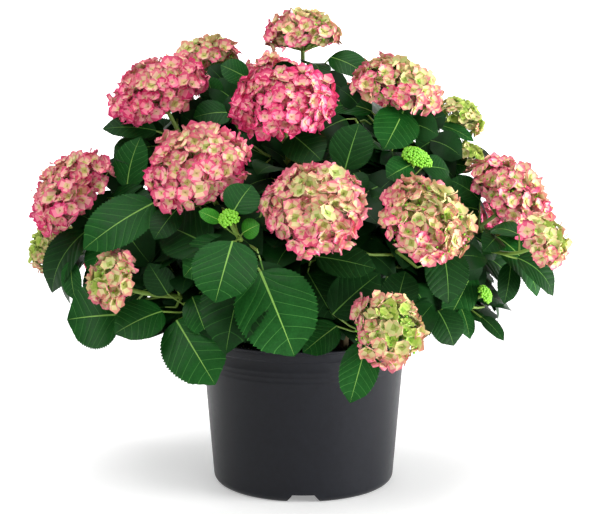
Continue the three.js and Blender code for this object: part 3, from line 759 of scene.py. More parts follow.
def new_tree(name, **inputs):
    """An empty tree with a geometry in and out and the named inputs, and its two ends."""
    tree = bpy.data.node_groups.new(name, "GeometryNodeTree")
    tree.interface.new_socket("Geometry", in_out="INPUT", socket_type="NodeSocketGeometry")
    tree.interface.new_socket("Geometry", in_out="OUTPUT", socket_type="NodeSocketGeometry")
    for label, kind in inputs.items():
        tree.interface.new_socket(spoken(label), in_out="INPUT", socket_type=f"NodeSocket{kind}")
    return tree, tree.nodes.new("NodeGroupInput").outputs, tree.nodes.new("NodeGroupOutput")


def attribute(tree, name, kind="FLOAT_VECTOR"):
    return node(tree, "GeometryNodeInputNamedAttribute", {"Name": name}, data_type=kind)


def random_value(tree, low, high, seed):
    return node(tree, "FunctionNodeRandomValue", {2: low, 3: high, "Seed": seed}, 1, data_type="FLOAT")


def random_pick(tree, count, seed):
    """A whole number below a count."""
    return node(tree, "FunctionNodeRandomValue", {4: 0, 5: count - 1, "Seed": seed}, 2, data_type="INT")


def sums(tree, operation, a, b=0.0):
    return node(tree, "ShaderNodeMath", {0: a, 1: b}, operation=operation)


def vectors(tree, operation, a, b):
    return node(tree, "ShaderNodeVectorMath", {0: a, 1: b}, operation=operation)


def moved(tree, geometry, way, amount):
    """Moves geometry some amount along a direction of its own."""
    offset = node(tree, "ShaderNodeVectorMath", {0: way, "Scale": amount}, operation="SCALE")
    return node(tree, "GeometryNodeSetPosition", {"Geometry": geometry, "Offset": offset})


def stored(tree, points, name, value, kind):
    inputs = {"Geometry": points, "Name": name, "Value": value}
    return node(tree, "GeometryNodeStoreNamedAttribute", inputs, data_type=kind, domain="POINT")


def strewn(tree, given, crowding):
    """Points strewn over the given surface with the given spacing, and their normals and rotations."""
    dense = sums(tree, "DIVIDE", crowding, sums(tree, "POWER", given["Spacing"], 2.0))
    inputs = {"Mesh": given["Geometry"], "Distance Min": given["Spacing"], "Density Max": dense}
    inputs["Seed"] = given["Seed"]
    kind = "GeometryNodeDistributePointsOnFaces"
    return node(tree, kind, inputs, distribute_method="POISSON").node.outputs


def set_on(tree, points, shapes, turn, size, index=None):
    """Sets one form of a collection on every point, by its index where one is given."""
    inputs = {"Collection": shapes, "Separate Children": True, "Reset Children": True}
    forms = node(tree, "GeometryNodeCollectionInfo", inputs)
    inputs = {"Points": points, "Instance": forms, "Pick Instance": True, "Rotation": turn, "Scale": size}
    if index is not None:
        inputs["Instance Index"] = index
    return node(tree, "GeometryNodeInstanceOnPoints", inputs)


def dressed(tree, geometry, finishes, zones):
    """Realizes the instances and deals the finishes out by tint and zone."""
    real = node(tree, "GeometryNodeRealizeInstances", {"Geometry": geometry})
    terms = {0: attribute(tree, "tint", "INT"), 1: float(zones), 2: attribute(tree, "zone", "INT")}
    look = node(tree, "ShaderNodeMath", terms, operation="MULTIPLY_ADD")
    for i, finish in enumerate(finishes):
        match = {0: look, 1: float(i), "Epsilon": 0.1}
        chosen = node(tree, "FunctionNodeCompare", match, data_type="FLOAT", operation="EQUAL")
        dress = {"Geometry": real, "Selection": chosen, "Material": finish}
        real = node(tree, "GeometryNodeSetMaterial", dress)
    return real


def leaf_tree(finishes):
    """Sets a leaf shape on every point, by the point's own place, facing, size, shape and tint."""
    tree, given, result = new_tree("Leaves on their petioles", leaf_shapes="Collection")
    axes = {0: attribute(tree, "facing"), 1: attribute(tree, "chord")}
    turn = node(tree, "FunctionNodeAxesToRotation", axes, primary_axis="Z", secondary_axis="Y")
    size, shape = attribute(tree, "size"), attribute(tree, "shape", "INT")
    leaves = set_on(tree, given["Geometry"], given["Leaf shapes"], turn, size, shape)
    fill(tree, result, {"Geometry": dressed(tree, leaves, finishes, LEAF_ZONES)})
    return tree


def flower_tree(name, finishes, tints):
    """Covers domes with florets or buds, each on a stalk from the heart of its flower head."""
    floats = dict.fromkeys(("spacing", "size", "sink", "tilt", "tint_scatter"), "Float")
    tree, given, result = new_tree(name, shapes="Collection", stalk_shape="Object", **floats, seed="Int")
    spread = strewn(tree, given, CROWDING["florets"])
    wander = sums(tree, "SUBTRACT", random_value(tree, 0.0, 1.0, 1), 0.5)
    wander = sums(tree, "MULTIPLY", wander, given["Tint scatter"])
    rosy = sums(tree, "ADD", attribute(tree, "rosiness", "FLOAT"), wander)
    tint = sums(tree, "FLOOR", sums(tree, "MULTIPLY", rosy, float(tints)))
    tint = sums(tree, "MINIMUM", sums(tree, "MAXIMUM", tint, 0.0), float(tints - 1))
    points = stored(tree, spread["Points"], "tint", tint, "INT")
    depth = sums(tree, "MULTIPLY", random_value(tree, -1.0, 0.0, 2), given["Sink"])
    points = moved(tree, points, spread["Normal"], depth)
    lean = {i: sums(tree, "MULTIPLY", random_value(tree, -1.0, 1.0, 3 + i), given["Tilt"]) for i in (0, 1)}
    lean = node(tree, "ShaderNodeCombineXYZ", {**lean, 2: random_value(tree, 0.0, 2 * math.pi, 5)})
    turn = {"Rotation": spread["Rotation"], "Rotate By": lean}
    turn = node(tree, "FunctionNodeRotateRotation", turn, rotation_space="LOCAL")
    size = sums(tree, "MULTIPLY", given["Size"], random_value(tree, *SIZE_SCATTER, 7))
    blooms = set_on(tree, points, given["Shapes"], turn, size, random_pick(tree, SHAPES, 6))
    heart, reach = attribute(tree, "heart"), attribute(tree, "reach")
    away = vectors(tree, "SUBTRACT", node(tree, "GeometryNodeInputPosition"), heart)
    stalks = stored(tree, points, "reach", away, "FLOAT_VECTOR")
    long = node(tree, "ShaderNodeVectorMath", {0: reach}, "Value", operation="LENGTH")
    inputs = {
        "Points": node(tree, "GeometryNodeSetPosition", {"Geometry": stalks, "Position": heart}),
        "Instance": node(tree, "GeometryNodeObjectInfo", {"Object": given["Stalk shape"]}, "Geometry"),
        "Rotation": node(tree, "FunctionNodeAlignRotationToVector", {"Vector": reach}, axis="Z"),
        "Scale": node(tree, "ShaderNodeCombineXYZ", {0: 1.0, 1: 1.0, 2: long}),
    }
    stalks = node(tree, "GeometryNodeInstanceOnPoints", inputs)
    both = node(tree, "GeometryNodeJoinGeometry", {"Geometry": blooms})
    tree.links.new(stalks, both.node.inputs["Geometry"])
    fill(tree, result, {"Geometry": dressed(tree, both, finishes, FLORET_ZONES)})
    return tree


def limb_tree():
    """Turns paths into round limbs of the paths' own radius, with a relief that wanders along them."""
    tree, given, result = new_tree(
        "Limbs along their paths", sides="Int", relief="Float", grain="Vector", finish="Material"
    )
    ring = {"Resolution": given["Sides"], "Radius": 1.0}
    inputs = {
        "Curve": node(tree, "GeometryNodeMeshToCurve", {"Mesh": given["Geometry"]}),
        "Profile Curve": node(tree, "GeometryNodeCurvePrimitiveCircle", ring, mode="RADIUS"),
        "Scale": attribute(tree, "radius", "FLOAT"),
        "Fill Caps": True,
    }
    skin = node(tree, "GeometryNodeCurveToMesh", inputs)
    where = vectors(tree, "MULTIPLY", node(tree, "GeometryNodeInputPosition"), given["Grain"])
    rough = node(tree, "ShaderNodeTexNoise", {"Vector": where, "Scale": 1.0, "Detail": 3.0})
    swell = sums(tree, "MULTIPLY", sums(tree, "SUBTRACT", rough, 0.5), given["Relief"])
    skin = moved(tree, skin, node(tree, "GeometryNodeInputNormal", output="Normal"), swell)
    for kind in ("GeometryNodeSetShadeSmooth", "GeometryNodeRealizeInstances"):
        skin = node(tree, kind, {"Geometry": skin})
    skin = node(tree, "GeometryNodeSetMaterial", {"Geometry": skin, "Material": given["Finish"]})
    fill(tree, result, {"Geometry": skin})
    return tree


def mesh_object(name, vertices, edges=(), faces=()):
    mesh = bpy.data.meshes.new(name)
    mesh.from_pydata([tuple(v) for v in vertices], list(edges), list(faces))
    made = bpy.data.objects.new(name, mesh)
    bpy.context.scene.collection.objects.link(made)
    return made


def note(mesh, name, kind, values, domain="POINT"):
    """Stores a value for every point or face of a mesh."""
    stored = mesh.attributes.new(name, kind, domain)
    key = "vector" if kind == "FLOAT_VECTOR" else "value"
    stored.data.foreach_set(key, np.asarray(values, np.int32 if kind == "INT" else np.float32).ravel())


def evaluated_mesh(obj):
    """A new mesh of what an object's modifiers make."""
    return bpy.data.meshes.new_from_object(obj.evaluated_get(bpy.context.evaluated_depsgraph_get()))


# What the trees read from or note on a mesh, and a finished mesh doesn't keep.
NOTES = ("tint", "zone", "shape", "size", "facing", "chord", "rosiness", "heart", "reach", "radius")


def run_tree(tree, obj, **values):
    """Puts what a tree makes of an object's mesh in the mesh's place."""
    modifier = obj.modifiers.new(tree.name, "NODES")
    modifier.node_group = tree
    wanted = {spoken(label): value for label, value in values.items()}
    for socket in tree.interface.items_tree:
        if socket.in_out == "INPUT" and socket.name in wanted:
            modifier[socket.identifier] = wanted[socket.name]
    made = evaluated_mesh(obj)
    obj.modifiers.remove(modifier)
    obj.data = made
    for name in NOTES:
        if name in made.attributes:
            made.attributes.remove(made.attributes[name])


def finished(obj, nodes):
    """Rides a piece on the plant's one body, in the place of its nodes."""
    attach(obj, "root")
    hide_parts(*nodes)


# ---------------- shapes that repeat


def shape_library(name, build):
    """A collection, outside the scene, of the forms that one thing comes in."""
    library = bpy.data.collections.new(name)
    for i in range(SHAPES):
        vertices, faces, zones = build(np.random.default_rng(i))
        mesh = bpy.data.meshes.new(f"{name}_{i}")
        mesh.from_pydata(vertices, [], faces)
        note(mesh, "zone", "INT", zones, "FACE")
        tidy = bmesh.new()
        tidy.from_mesh(mesh)
        bmesh.ops.remove_doubles(tidy, verts=tidy.verts, dist=1e-5)
        tidy.to_mesh(mesh)
        tidy.free()
        mesh.shade_smooth()
        library.objects.link(bpy.data.objects.new(f"{name}_{i}", mesh))
    return library


BLADE = {
    "columns": (0, 0.34, 0.7, 1),  # from the midrib to the margin
    "basal": 0.24,  # where the vein that springs from the blade's foot meets the margin
    "veins": 6,  # other pairs of side veins
    "first": 0.07,
    "last": 0.8,
    "sweep": 0.46,  # how far a vein runs towards the tip before it meets the margin
    "vein": 0.0031,  # half the width of a side vein
    "rib": 0.015,  # and of the midrib at its foot
    "tooth": 0.06,
    "pitch": 0.042,  # of the teeth, along the midrib
    "pucker": 0.008,  # how far the blade swells between its veins
    "tip": 0.84,  # where the blade draws out to its tip
    "pinch": 0.5,
}


def full_outline(u):
    """The grown blade's width: rounder than the solids' and drawn out to a short tip."""
    drawn_out = 1 - BLADE["pinch"] * max(0, (u - BLADE["tip"]) / (1 - BLADE["tip"]))
    return bell(u, 0.5, 0.62, drawn_out)


def blade_rows():
    """Rows along the side veins: where each leaves the midrib and meets the margin, its tooth and swell."""
    stops = [(0, 0), (0, BLADE["basal"])]
    for i in range(BLADE["veins"]):
        start = mix(BLADE["first"], BLADE["last"], i / (BLADE["veins"] - 1))
        stops.append((start, start + BLADE["sweep"] * (1 - start)))
    stops.append((1, 1))
    half, rows = BLADE["vein"], []
    for i, (low, high) in enumerate(zip(stops, stops[1:])):
        if i > 0:
            rows.append((max(low[0] - half, 0), low[1] - half, 1, 0, VEIN_ZONE))
            low = (low[0] + half, low[1] + half)
        if i < len(stops) - 2:
            high = (max(high[0] - half, 0), high[1] - half)
        steps = 2 * max(1, round((high[1] - low[1]) / BLADE["pitch"]))
        for k in range(steps):
            along = k / steps
            tooth = 1 - BLADE["tooth"] * (k % 2)
            swell = math.sin(math.pi * along)
            start, end = mix(low[0], high[0], along), mix(low[1], high[1], along)
            rows.append((start, end, tooth, swell, BLADE_ZONE))
    rows.append((1, 1, 1, 0, BLADE_ZONE))
    return rows


def grid_faces(first, rows, columns):
    """The quads of a grid of points, row by row."""
    corners = [first + i * columns + j for i in range(rows - 1) for j in range(columns - 1)]
    return [[a, a + 1, a + columns + 1, a + columns] for a in corners]


LEAF_FORM = {
    "bend": (-0.07, 0.07), "twist": (-0.12, 0.12), "phase": (0, 6),
    "wave": (0.006, 0.018), "droop": (0, 0.06),
}


def leaf_shape(random):
    """A blade of length and width 1 along +Y, its face to +Z, toothed, puckered and a little askew."""
    bend, twist, phase, wave, droop = [random.uniform(*span) for span in LEAF_FORM.values()]
    rows, columns = blade_rows(), BLADE["columns"]
    vertices, faces, zones = [], [], []

    def place(u, x, side, s, swell):
        arch = 4 * LEAF["sag"] * u * (1 - u) - droop * u**3
        cup = LEAF["cup"] * LEAF["slimness"] * x
        ripple = wave * math.sin(9 * u + phase + side) * s**2
        z = arch + cup + ripple + twist * side * x * (u - 0.4) + BLADE["pucker"] * swell
        vertices.append((side * x + bend * u * u, u, z))

    for side in (-1, 1):
        for start, end, tooth, swell, _ in rows:
            for s in columns:
                u = start + (end - start) * s**0.95
                rib = BLADE["rib"] * (1 - u) ** 0.8
                x = s * 0.5 * full_outline(u) * mix(1, tooth, s**3) + (1 - s) * rib
                place(u, x, side, s, swell * math.sin(math.pi * min(0.9 * s + 0.05, 1)))
    wide, tall = len(columns), len(rows)
    faces += [quad[::-1] for quad in grid_faces(0, tall, wide)] + grid_faces(tall * wide, tall, wide)
    zones += 2 * [row[4] for row in rows[:-1] for _ in range(wide - 1)]
    for i in range(tall - 1):
        left, right = i * wide, (tall + i) * wide
        faces.append([left, right, right + wide, left + wide])
        zones.append(RIB_ZONE)
    return vertices, faces, zones


def small_leaf_shape(random):
    """A plainer blade, for leaves in the depth of the crown."""
    bend, twist = random.uniform(-0.09, 0.09), random.uniform(-0.15, 0.15)
    vertices, stops = [], (0, 0.1, 0.25, 0.42, 0.6, 0.78, 0.91, 1)
    for u in stops:
        half, rib = 0.5 * full_outline(u), BLADE["rib"] * (1 - u)
        places = (-half, -half * 0.55, -rib, rib, half * 0.55, half)
        for x in places:
            z = 4 * LEAF["sag"] * u * (1 - u) + LEAF["cup"] * LEAF["slimness"] * abs(x)
            vertices.append((x + bend * u * u, u, z + twist * x * (u - 0.4)))
    faces = grid_faces(0, len(stops), len(places))
    across = [BLADE_ZONE, BLADE_ZONE, RIB_ZONE, BLADE_ZONE, BLADE_ZONE]
    return vertices, faces, across * (len(stops) - 1)


SEPAL_ROWS = ((0.08, 0.08), (0.36, 0.42), (0.74, 0.6), (1.04, 0.09))  # where along it, and half its width
SEPAL_COLUMNS = (-1, -0.55, 0.55, 1)


SEPAL = {"turn": 0.15, "size": (0.86, 1.14), "skew": 0.1, "roll": 0.12, "lift": 0.07, "cup": (0.15, 0.7)}
EYE = {"radius": 0.11, "rise": 0.1}


def floret_shape(random):
    """A floret of four cupped sepals round an eye, with radius 1 and its face to +Z."""
    vertices, faces, zones = [], [], []
    cup = random.uniform(*SEPAL["cup"])
    tall, wide = len(SEPAL_ROWS), len(SEPAL_COLUMNS)
    for k in range(4):
        turn = math.pi / 2 * k + random.uniform(-SEPAL["turn"], SEPAL["turn"])
        size, skew = random.uniform(*SEPAL["size"]), random.uniform(-SEPAL["skew"], SEPAL["skew"])
        edged = ((0, 2), (0, 2), (0,), (2,))[random.integers(4)]  # which of its sides are rosy
        lift, roll = SEPAL["lift"] * (k % 2), random.uniform(-SEPAL["roll"], SEPAL["roll"])
        faces += grid_faces(len(vertices), tall, wide)
        for t, half in SEPAL_ROWS:
            for c in SEPAL_COLUMNS:
                y = size * (t - 0.12 * t * c * c)
                x = size * c * half + skew * t * t
                z = lift + cup * t**1.8 + 0.09 * c * c * t - 0.06 * t**4 + roll * c * t
                px, py = x * math.cos(turn) - y * math.sin(turn), x * math.sin(turn) + y * math.cos(turn)
                vertices.append((px, py, z))
        for i in range(tall - 1):
            for j in range(wide - 1):
                rosy = i == tall - 2 or j in edged
                zones.append(THROAT_ZONE if i == 0 else MARGIN_ZONE if rosy else MIDDLE_ZONE)
    first = len(vertices)
    eye, rise = EYE["radius"], EYE["rise"]
    vertices += [(eye, 0, rise), (0, eye, rise), (-eye, 0, rise), (0, -eye, rise)]
    vertices += [(0, 0, rise + eye), (0, 0, 0)]
    for i in range(4):
        a, b = first + i, first + (i + 1) % 4
        faces += [[a, b, first + 4], [b, a, first + 5]]
        zones += [EYE_ZONE, EYE_ZONE]
    return vertices, faces, zones


def ball_shape(random, low, high):
    """A ball of radius 1 with an uneven skin, and the height of each of its faces."""
    ball = bmesh.new()
    bmesh.ops.create_icosphere(ball, subdivisions=1, radius=1)
    vertices = [tuple(v.co * random.uniform(low, high)) for v in ball.verts]
    faces = [[v.index for v in face.verts] for face in ball.faces]
    heights = [face.calc_center_median().z for face in ball.faces]
    ball.free()
    return vertices, faces, heights


def bead_shape(random):
    """A round bud of radius 1, lighter on its crown: painted highlight on its upper faces and painted shade
    on its lower ones.
    """
    vertices, faces, heights = ball_shape(random, 0.9, 1.1)
    return vertices, faces, [0 if height > 0 else 1 for height in heights]


def stalk_object(name, foot, tip):
    """A three-sided stalk of length 1 along +Z, with a radius at its foot and at its tip."""
    corners = [(math.cos(a), math.sin(a)) for a in (0, 2 * math.pi / 3, 4 * math.pi / 3)]
    ends = ((foot * MM, 0), (tip * MM, 1))
    vertices = [(x * radius, y * radius, z) for radius, z in ends for x, y in corners]
    mesh = bpy.data.meshes.new(name)
    mesh.from_pydata(vertices, [], [[i, (i + 1) % 3, (i + 1) % 3 + 3, i + 3] for i in range(3)])
    note(mesh, "zone", "INT", [STALK_ZONE] * 3, "FACE")
    mesh.shade_smooth()
    return bpy.data.objects.new(name, mesh)


# ---------------- pieces of the plant


QUARTER = {"rear": 65, "side": 100}  # how far back or aside the rear and the side quarters begin


def quarter_of(shoot):
    x, y, _ = shoot["heads"][0]["centre"]
    if y > QUARTER["rear"]:
        return "rear"
    return "left" if x < -QUARTER["side"] else "right" if x > QUARTER["side"] else "middle"


def paths_object(name, runs):
    """Runs of points with a radius at each, as the edges of one mesh."""
    vertices, edges, radii = [], [], []
    for points, widths in runs:
        first = len(vertices)
        vertices += [p * MM for p in points]
        edges += [(first + i, first + i + 1) for i in range(len(points) - 1)]
        radii += [w * MM for w in widths]
    made = mesh_object(name, vertices, edges)
    note(made.data, "radius", "FLOAT", radii)
    return made


def cane_run(shoot):
    """The bare foot of a cane, with a collar at the soil and a swelling where the leaves begin."""
    shares = np.linspace(0, HANDOVER, 34)
    along = shares / HANDOVER
    radii = mix(CANE["foot"], CANE["handover"], along) + COLLAR["rise"] * np.exp(-along * COLLAR["fade"])
    for thick, where, length in JOINTS:
        radii += thick * np.exp(-(((along - where) / length) ** 2))
    return [shoot["curve"].at(s) for s in shares], radii


def shoot_runs(shoot):
    """The green stems and side twigs, and a petiole for each leaf that runs on under its midrib."""
    spots = np.linspace(HANDOVER, 1, 40)
    grown = (spots - HANDOVER) / (1 - HANDOVER)
    runs = [([shoot["curve"].at(s) for s in spots], mix(CANE["handover"], CANE["tip"], grown))]
    for twig in shoot["twigs"]:
        spots = np.linspace(0, 1, 24)
        runs.append(([twig.at(s) for s in spots], mix(CANE["tip"], CANE["tip"] - FORK["taper"], spots)))
    for twig, leaves in shoot["side_twigs"]:
        spots = np.linspace(0, max(leaf["along"] for leaf in leaves), 6)
        runs.append(([twig.at(s) for s in spots], mix(*TWIG_RADII, spots)))
        runs += [([leaf["root"], leaf["base"]], TWIG_PETIOLE) for leaf in leaves]
    runs += [([leaf["root"], leaf["base"]], DEEP_PETIOLE) for leaf in shoot["deep_leaves"]]
    for leaf in shoot["bold"] + shoot["leaves"]:
        along = unit(leaf["base"] - leaf["root"])
        sag = -UP * PETIOLE["sag"] * np.linalg.norm(leaf["base"] - leaf["root"])
        points = [leaf["root"] - along * PETIOLE["sunk"], mix(leaf["root"], leaf["base"], 0.5) + sag]
        thick = 0.5 + 0.5 * min(leaf["length"] / LEAF["length"], 1)
        radii = [PETIOLE["foot"] * thick, PETIOLE["radius"] * thick]
        for u in KEEL["at"]:
            radius = PETIOLE["radius"] * thick * (1 - u / KEEL["end"])
            points.append(midrib_point(leaf, u) - midrib_lift(leaf, u) * radius * KEEL["sunk"])
            radii.append(radius)
        runs.append((points, radii))
    return runs


OLD, FULL, FRESH, YOUNG = range(4)  # the ages of leaves, as their colours are listed
YOUNG_WIDTH = 40


def leaf_ages(shoot, random):
    """Each outer leaf of a shoot with its age: bold leaves are fresher, and a bud's own are young."""
    aged = []
    for i, leaf in enumerate(shoot["bold"] + shoot["leaves"]):
        age = random.choice([OLD, OLD, FULL, FULL, FULL, FRESH])
        if i < len(shoot["bold"]):
            age = random.choice([FULL, FRESH])
        if leaf.get("young"):
            age = random.choice([FULL, FRESH])
        if shoot["name"] == "bud_left" and leaf["width"] < YOUNG_WIDTH:
            age = YOUNG
        aged.append((leaf, age))
    return aged


def leaf_points(name, aged, random):
    """A point for every leaf, which says how it lies, how large it is and how old."""
    made = mesh_object(name, [leaf["base"] * MM for leaf, _ in aged])
    sizes = [(leaf["width"], leaf["length"], leaf["length"] * leaf["arch"]) for leaf, _ in aged]
    note(made.data, "chord", "FLOAT_VECTOR", [leaf["chord"] for leaf, _ in aged])
    note(made.data, "facing", "FLOAT_VECTOR", [leaf["normal"] for leaf, _ in aged])
    note(made.data, "size", "FLOAT_VECTOR", np.array(sizes) * MM)
    note(made.data, "shape", "INT", random.integers(0, SHAPES, len(aged)))
    note(made.data, "tint", "INT", [age for _, age in aged])
    return made


# How far round a flower head its florets reach, in radians: a mophead's curl under, a bud's stay on top.
DOME = {
    "rings": 12, "sides": 28, "round": 2.05, "bud_round": 1.65, "bud_flat": 0.75,
    "in_bud": 0.75,  # share of the bud radius below which a head stays on top
    "heart": 0.75,  # how deep under the head its stalks spring from
}


def dome_grid(head, inset, rosiness, random):
    """A flower head's surface, with how rosy it is at each point and where its stalks spring from."""
    level, other = square_to(head["axis"])
    radius = head["radius"] - inset
    heart = head["centre"] - head["axis"] * HEAD["under"] * head["radius"] * DOME["heart"]
    phase = random.uniform(0, 6, 3)
    in_bud = head["radius"] < BUD_RADIUS * DOME["in_bud"]
    reach, flat = (DOME["bud_round"], DOME["bud_flat"]) if in_bud else (DOME["round"], 1)
    rings, sides = DOME["rings"], DOME["sides"]
    vertices, rosy = [], []
    for i in range(rings + 1):
        polar = reach * i / rings
        high = (HEAD["dome"] if polar < math.pi / 2 else HEAD["under"]) * flat
        for j in range(sides):
            turn = 2 * math.pi * j / sides
            uneven = 1 + 0.05 * math.sin(3 * turn + phase[0]) * math.sin(polar)
            uneven += 0.04 * math.sin(5 * turn + phase[1]) * math.sin(2 * polar + phase[2])
            out = (level * math.cos(turn) + other * math.sin(turn)) * math.sin(polar)
            p = head["centre"] + (out + head["axis"] * math.cos(polar) * high) * radius * uneven
            vertices.append(p * MM)
            across = (p - head["centre"])[0] / head["radius"]
            rosy.append(mix(*rosiness, (across + 1) / 2) + ROSY_RIM * (math.sin(polar) ** 3 - 0.5))
    faces = []
    for i in range(rings):
        for j in range(sides):
            a, b = i * sides + j, i * sides + (j + 1) % sides
            faces.append([a, a + sides, b + sides, b])
    return vertices, faces, rosy, [heart * MM] * len(vertices)


def domes_object(name, heads, inset, random):
    vertices, faces, rosy, hearts = [], [], [], []
    for head, rosiness in heads:
        grid = dome_grid(head, inset, rosiness, random)
        first = len(vertices)
        vertices += grid[0]
        faces += [[first + v for v in face] for face in grid[1]]
        rosy += grid[2]
        hearts += grid[3]
    made = mesh_object(name, vertices, (), faces)
    note(made.data, "rosiness", "FLOAT", rosy)
    note(made.data, "heart", "FLOAT_VECTOR", hearts)
    return made


def joined(name, objects):
    """One object of several, which keeps each one's finishes."""
    bpy.ops.object.select_all(action="DESELECT")
    for obj in objects:
        obj.select_set(True)
    bpy.context.view_layer.objects.active = objects[0]
    bpy.ops.object.join()
    objects[0].name = objects[0].data.name = name
    return objects[0]


def heads_by_kind(shoots):
    """Flower heads with their rosiness: full ones, twice for their two shells, lime, creamy and closed."""
    full, small, creamy, closed = [], [], [], []
    for shoot in shoots:
        rosiness = [ROSINESS.get(shoot["name"], REAR_ROSINESS), SECOND_HEAD_ROSINESS.get(shoot["name"])]
        for head, rosy in zip(shoot["heads"], rosiness):
            if head["radius"] == 0:
                continue
            if head["radius"] < CLOSED_RADIUS:
                closed.append((head, rosy))
            elif max(rosy) <= SMALL_ROSINESS:
                small.append((head, rosy))
            else:
                full.append((head, rosy))
                if min(rosy) < CREAMY:
                    creamy.append((head, rosy))
    return full, full, small, creamy, closed


def build_leaves(quarter, group, tree, libraries, nodes, random):
    """The outer leaves of a quarter, and the leaves in its depth."""
    outer = [pair for shoot in group for pair in leaf_ages(shoot, random)]
    blades = leaf_points(f"leaves_{quarter}", outer, random)
    run_tree(tree, blades, leaf_shapes=libraries[0])
    finished(blades, nodes)
    deep = [
        (leaf, random.choice([OLD, OLD, FULL]))
        for shoot in group
        for grown in [shoot["deep_leaves"], *[leaves for _, leaves in shoot["side_twigs"]]]
        for leaf in grown
    ]
    inner = leaf_points(f"inner_leaves_{quarter}", deep, random)
    run_tree(tree, inner, leaf_shapes=libraries[1])
    finished(inner, nodes)


def build_blossom(quarter, group, kinds, random):
    made = []
    for heads, (kind, tree, sizes, shapes, stalk) in zip(heads_by_kind(group), kinds):
        if heads:
            domes = domes_object(f"{kind}_{quarter}", heads, sizes["inset"], random)
            lengths = {name: sizes[name] * MM for name in ("spacing", "size", "sink")}
            tilt = math.radians(sizes["tilt"])
            run_tree(
                tree, domes, shapes=shapes, stalk_shape=stalk, **lengths, tilt=tilt,
                tint_scatter=TINT_SCATTER, seed=7,
            )
            made.append(domes)
    bloomed = [f"foliage_{shoot['name']}" for shoot in group if shoot["heads"][0]["radius"] > 0]
    finished(joined(f"blossom_{quarter}", made), bloomed)


def build_plant(shoots):
    random = np.random.default_rng(PLANT_SEED)
    libraries = [
        shape_library("leaf_shapes", leaf_shape),
        shape_library("small_leaf_shapes", small_leaf_shape),
    ]
    florets, beads = shape_library("floret_shapes", floret_shape), shape_library("bead_shapes", bead_shape)
    stalk, bud_stalk = stalk_object("floret_stalk", *FLORET_STALK), stalk_object("bud_stalk", *BUD_STALK)
    leaves = leaf_tree(leaf_finishes())
    blossom = flower_tree("Florets on a flower head", floret_finishes(), TINTS)
    buds = flower_tree("Buds on a flower head", bud_finishes(), 1)
    kinds = [
        ("florets", blossom, FLORET, florets, stalk),
        ("deep_florets", blossom, DEEP_FLORET, florets, stalk),
        ("small_florets", blossom, SMALL_FLORET, florets, bud_stalk),
        ("fertile_beads", buds, FERTILE_BEAD, beads, bud_stalk),
        ("beads", buds, BEAD, beads, bud_stalk),
    ]
    limbs = limb_tree()
    bark = grained_finish(
        "cane_bark", colour(72, 58, 40), colour(140, 122, 88), (0.75, 0.95), 2.5, 0.5, (1, 1, 0.25)
    )
    green = plain_finish("shoot_skin", colour(120, 152, 62), 0.5)

    canes = paths_object("canes", [cane_run(shoot) for shoot in shoots])
    run_tree(limbs, canes, sides=14, relief=1.1 * MM, grain=(420, 420, 90), finish=bark)
    finished(canes, [f"cane_{shoot['name']}" for shoot in shoots])

    for quarter in ("left", "middle", "right", "rear"):
        group = [shoot for shoot in shoots if quarter_of(shoot) == quarter]
        nodes = [f"foliage_{shoot['name']}" for shoot in group]
        stems = paths_object(f"shoots_{quarter}", [run for shoot in group for run in shoot_runs(shoot)])
        run_tree(limbs, stems, sides=6, relief=0.25 * MM, grain=(300, 300, 120), finish=green)
        finished(stems, nodes)
        build_leaves(quarter, group, leaves, libraries, nodes, random)
        build_blossom(quarter, group, kinds, random)


# ---------------- soil


def crumb_shape(random):
    """A crumb of potting soil of radius 1."""
    vertices, faces, _ = ball_shape(random, 0.55, 1.25)
    return vertices, faces, [0] * len(faces)


def soil_tree(finishes):
    """Strews crumbs over a surface."""
    floats = dict.fromkeys(("spacing", "smallest", "largest"), "Float")
    tree, given, result = new_tree("Crumbs on the soil", shapes="Collection", **floats, seed="Int")
    spread = strewn(tree, given, CROWDING["crumbs"])
    points = stored(tree, spread["Points"], "tint", random_pick(tree, len(finishes), 3), "INT")
    spin = {i: random_value(tree, 0.0, 2 * math.pi, 10 + i) for i in range(3)}
    spin = node(tree, "ShaderNodeCombineXYZ", spin)
    size = random_value(tree, given["Smallest"], given["Largest"], 5)
    crumbs = set_on(tree, points, given["Shapes"], spin, size)
    fill(tree, result, {"Geometry": dressed(tree, crumbs, finishes, 1)})
    return tree


CRUMBS = {"sides": 48, "radius": 130, "spacing": 3.6, "smallest": 1, "largest": 2.8}


def build_soil():
    peat = grained_finish("potting_soil", colour(22, 15, 10), colour(58, 42, 30), (0.9, 1), 3, 1.5)
    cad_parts["root_ball"].data.materials.clear()
    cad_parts["root_ball"].data.materials.append(peat)
    finishes = [
        plain_finish("soil_crumb_dark", colour(30, 21, 15), 1),
        plain_finish("soil_crumb_brown", colour(62, 44, 30), 1),
        plain_finish("soil_crumb_bark", colour(98, 72, 48), 0.9),
    ]
    shapes = shape_library("crumb_shapes", crumb_shape)
    sides, radius = CRUMBS["sides"], CRUMBS["radius"]
    rim = [
        (radius * MM * math.cos(a), radius * MM * math.sin(a), SOIL_TOP * MM)
        for a in np.linspace(0, 2 * math.pi, sides, endpoint=False)
    ]
    crumbs = mesh_object("soil_crumbs", rim, (), [list(range(sides))])
    sizes = {name: CRUMBS[name] * MM for name in ("spacing", "smallest", "largest")}
    run_tree(soil_tree(finishes), crumbs, shapes=shapes, **sizes, seed=2)
    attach(crumbs, "root")


# ---------------- pot


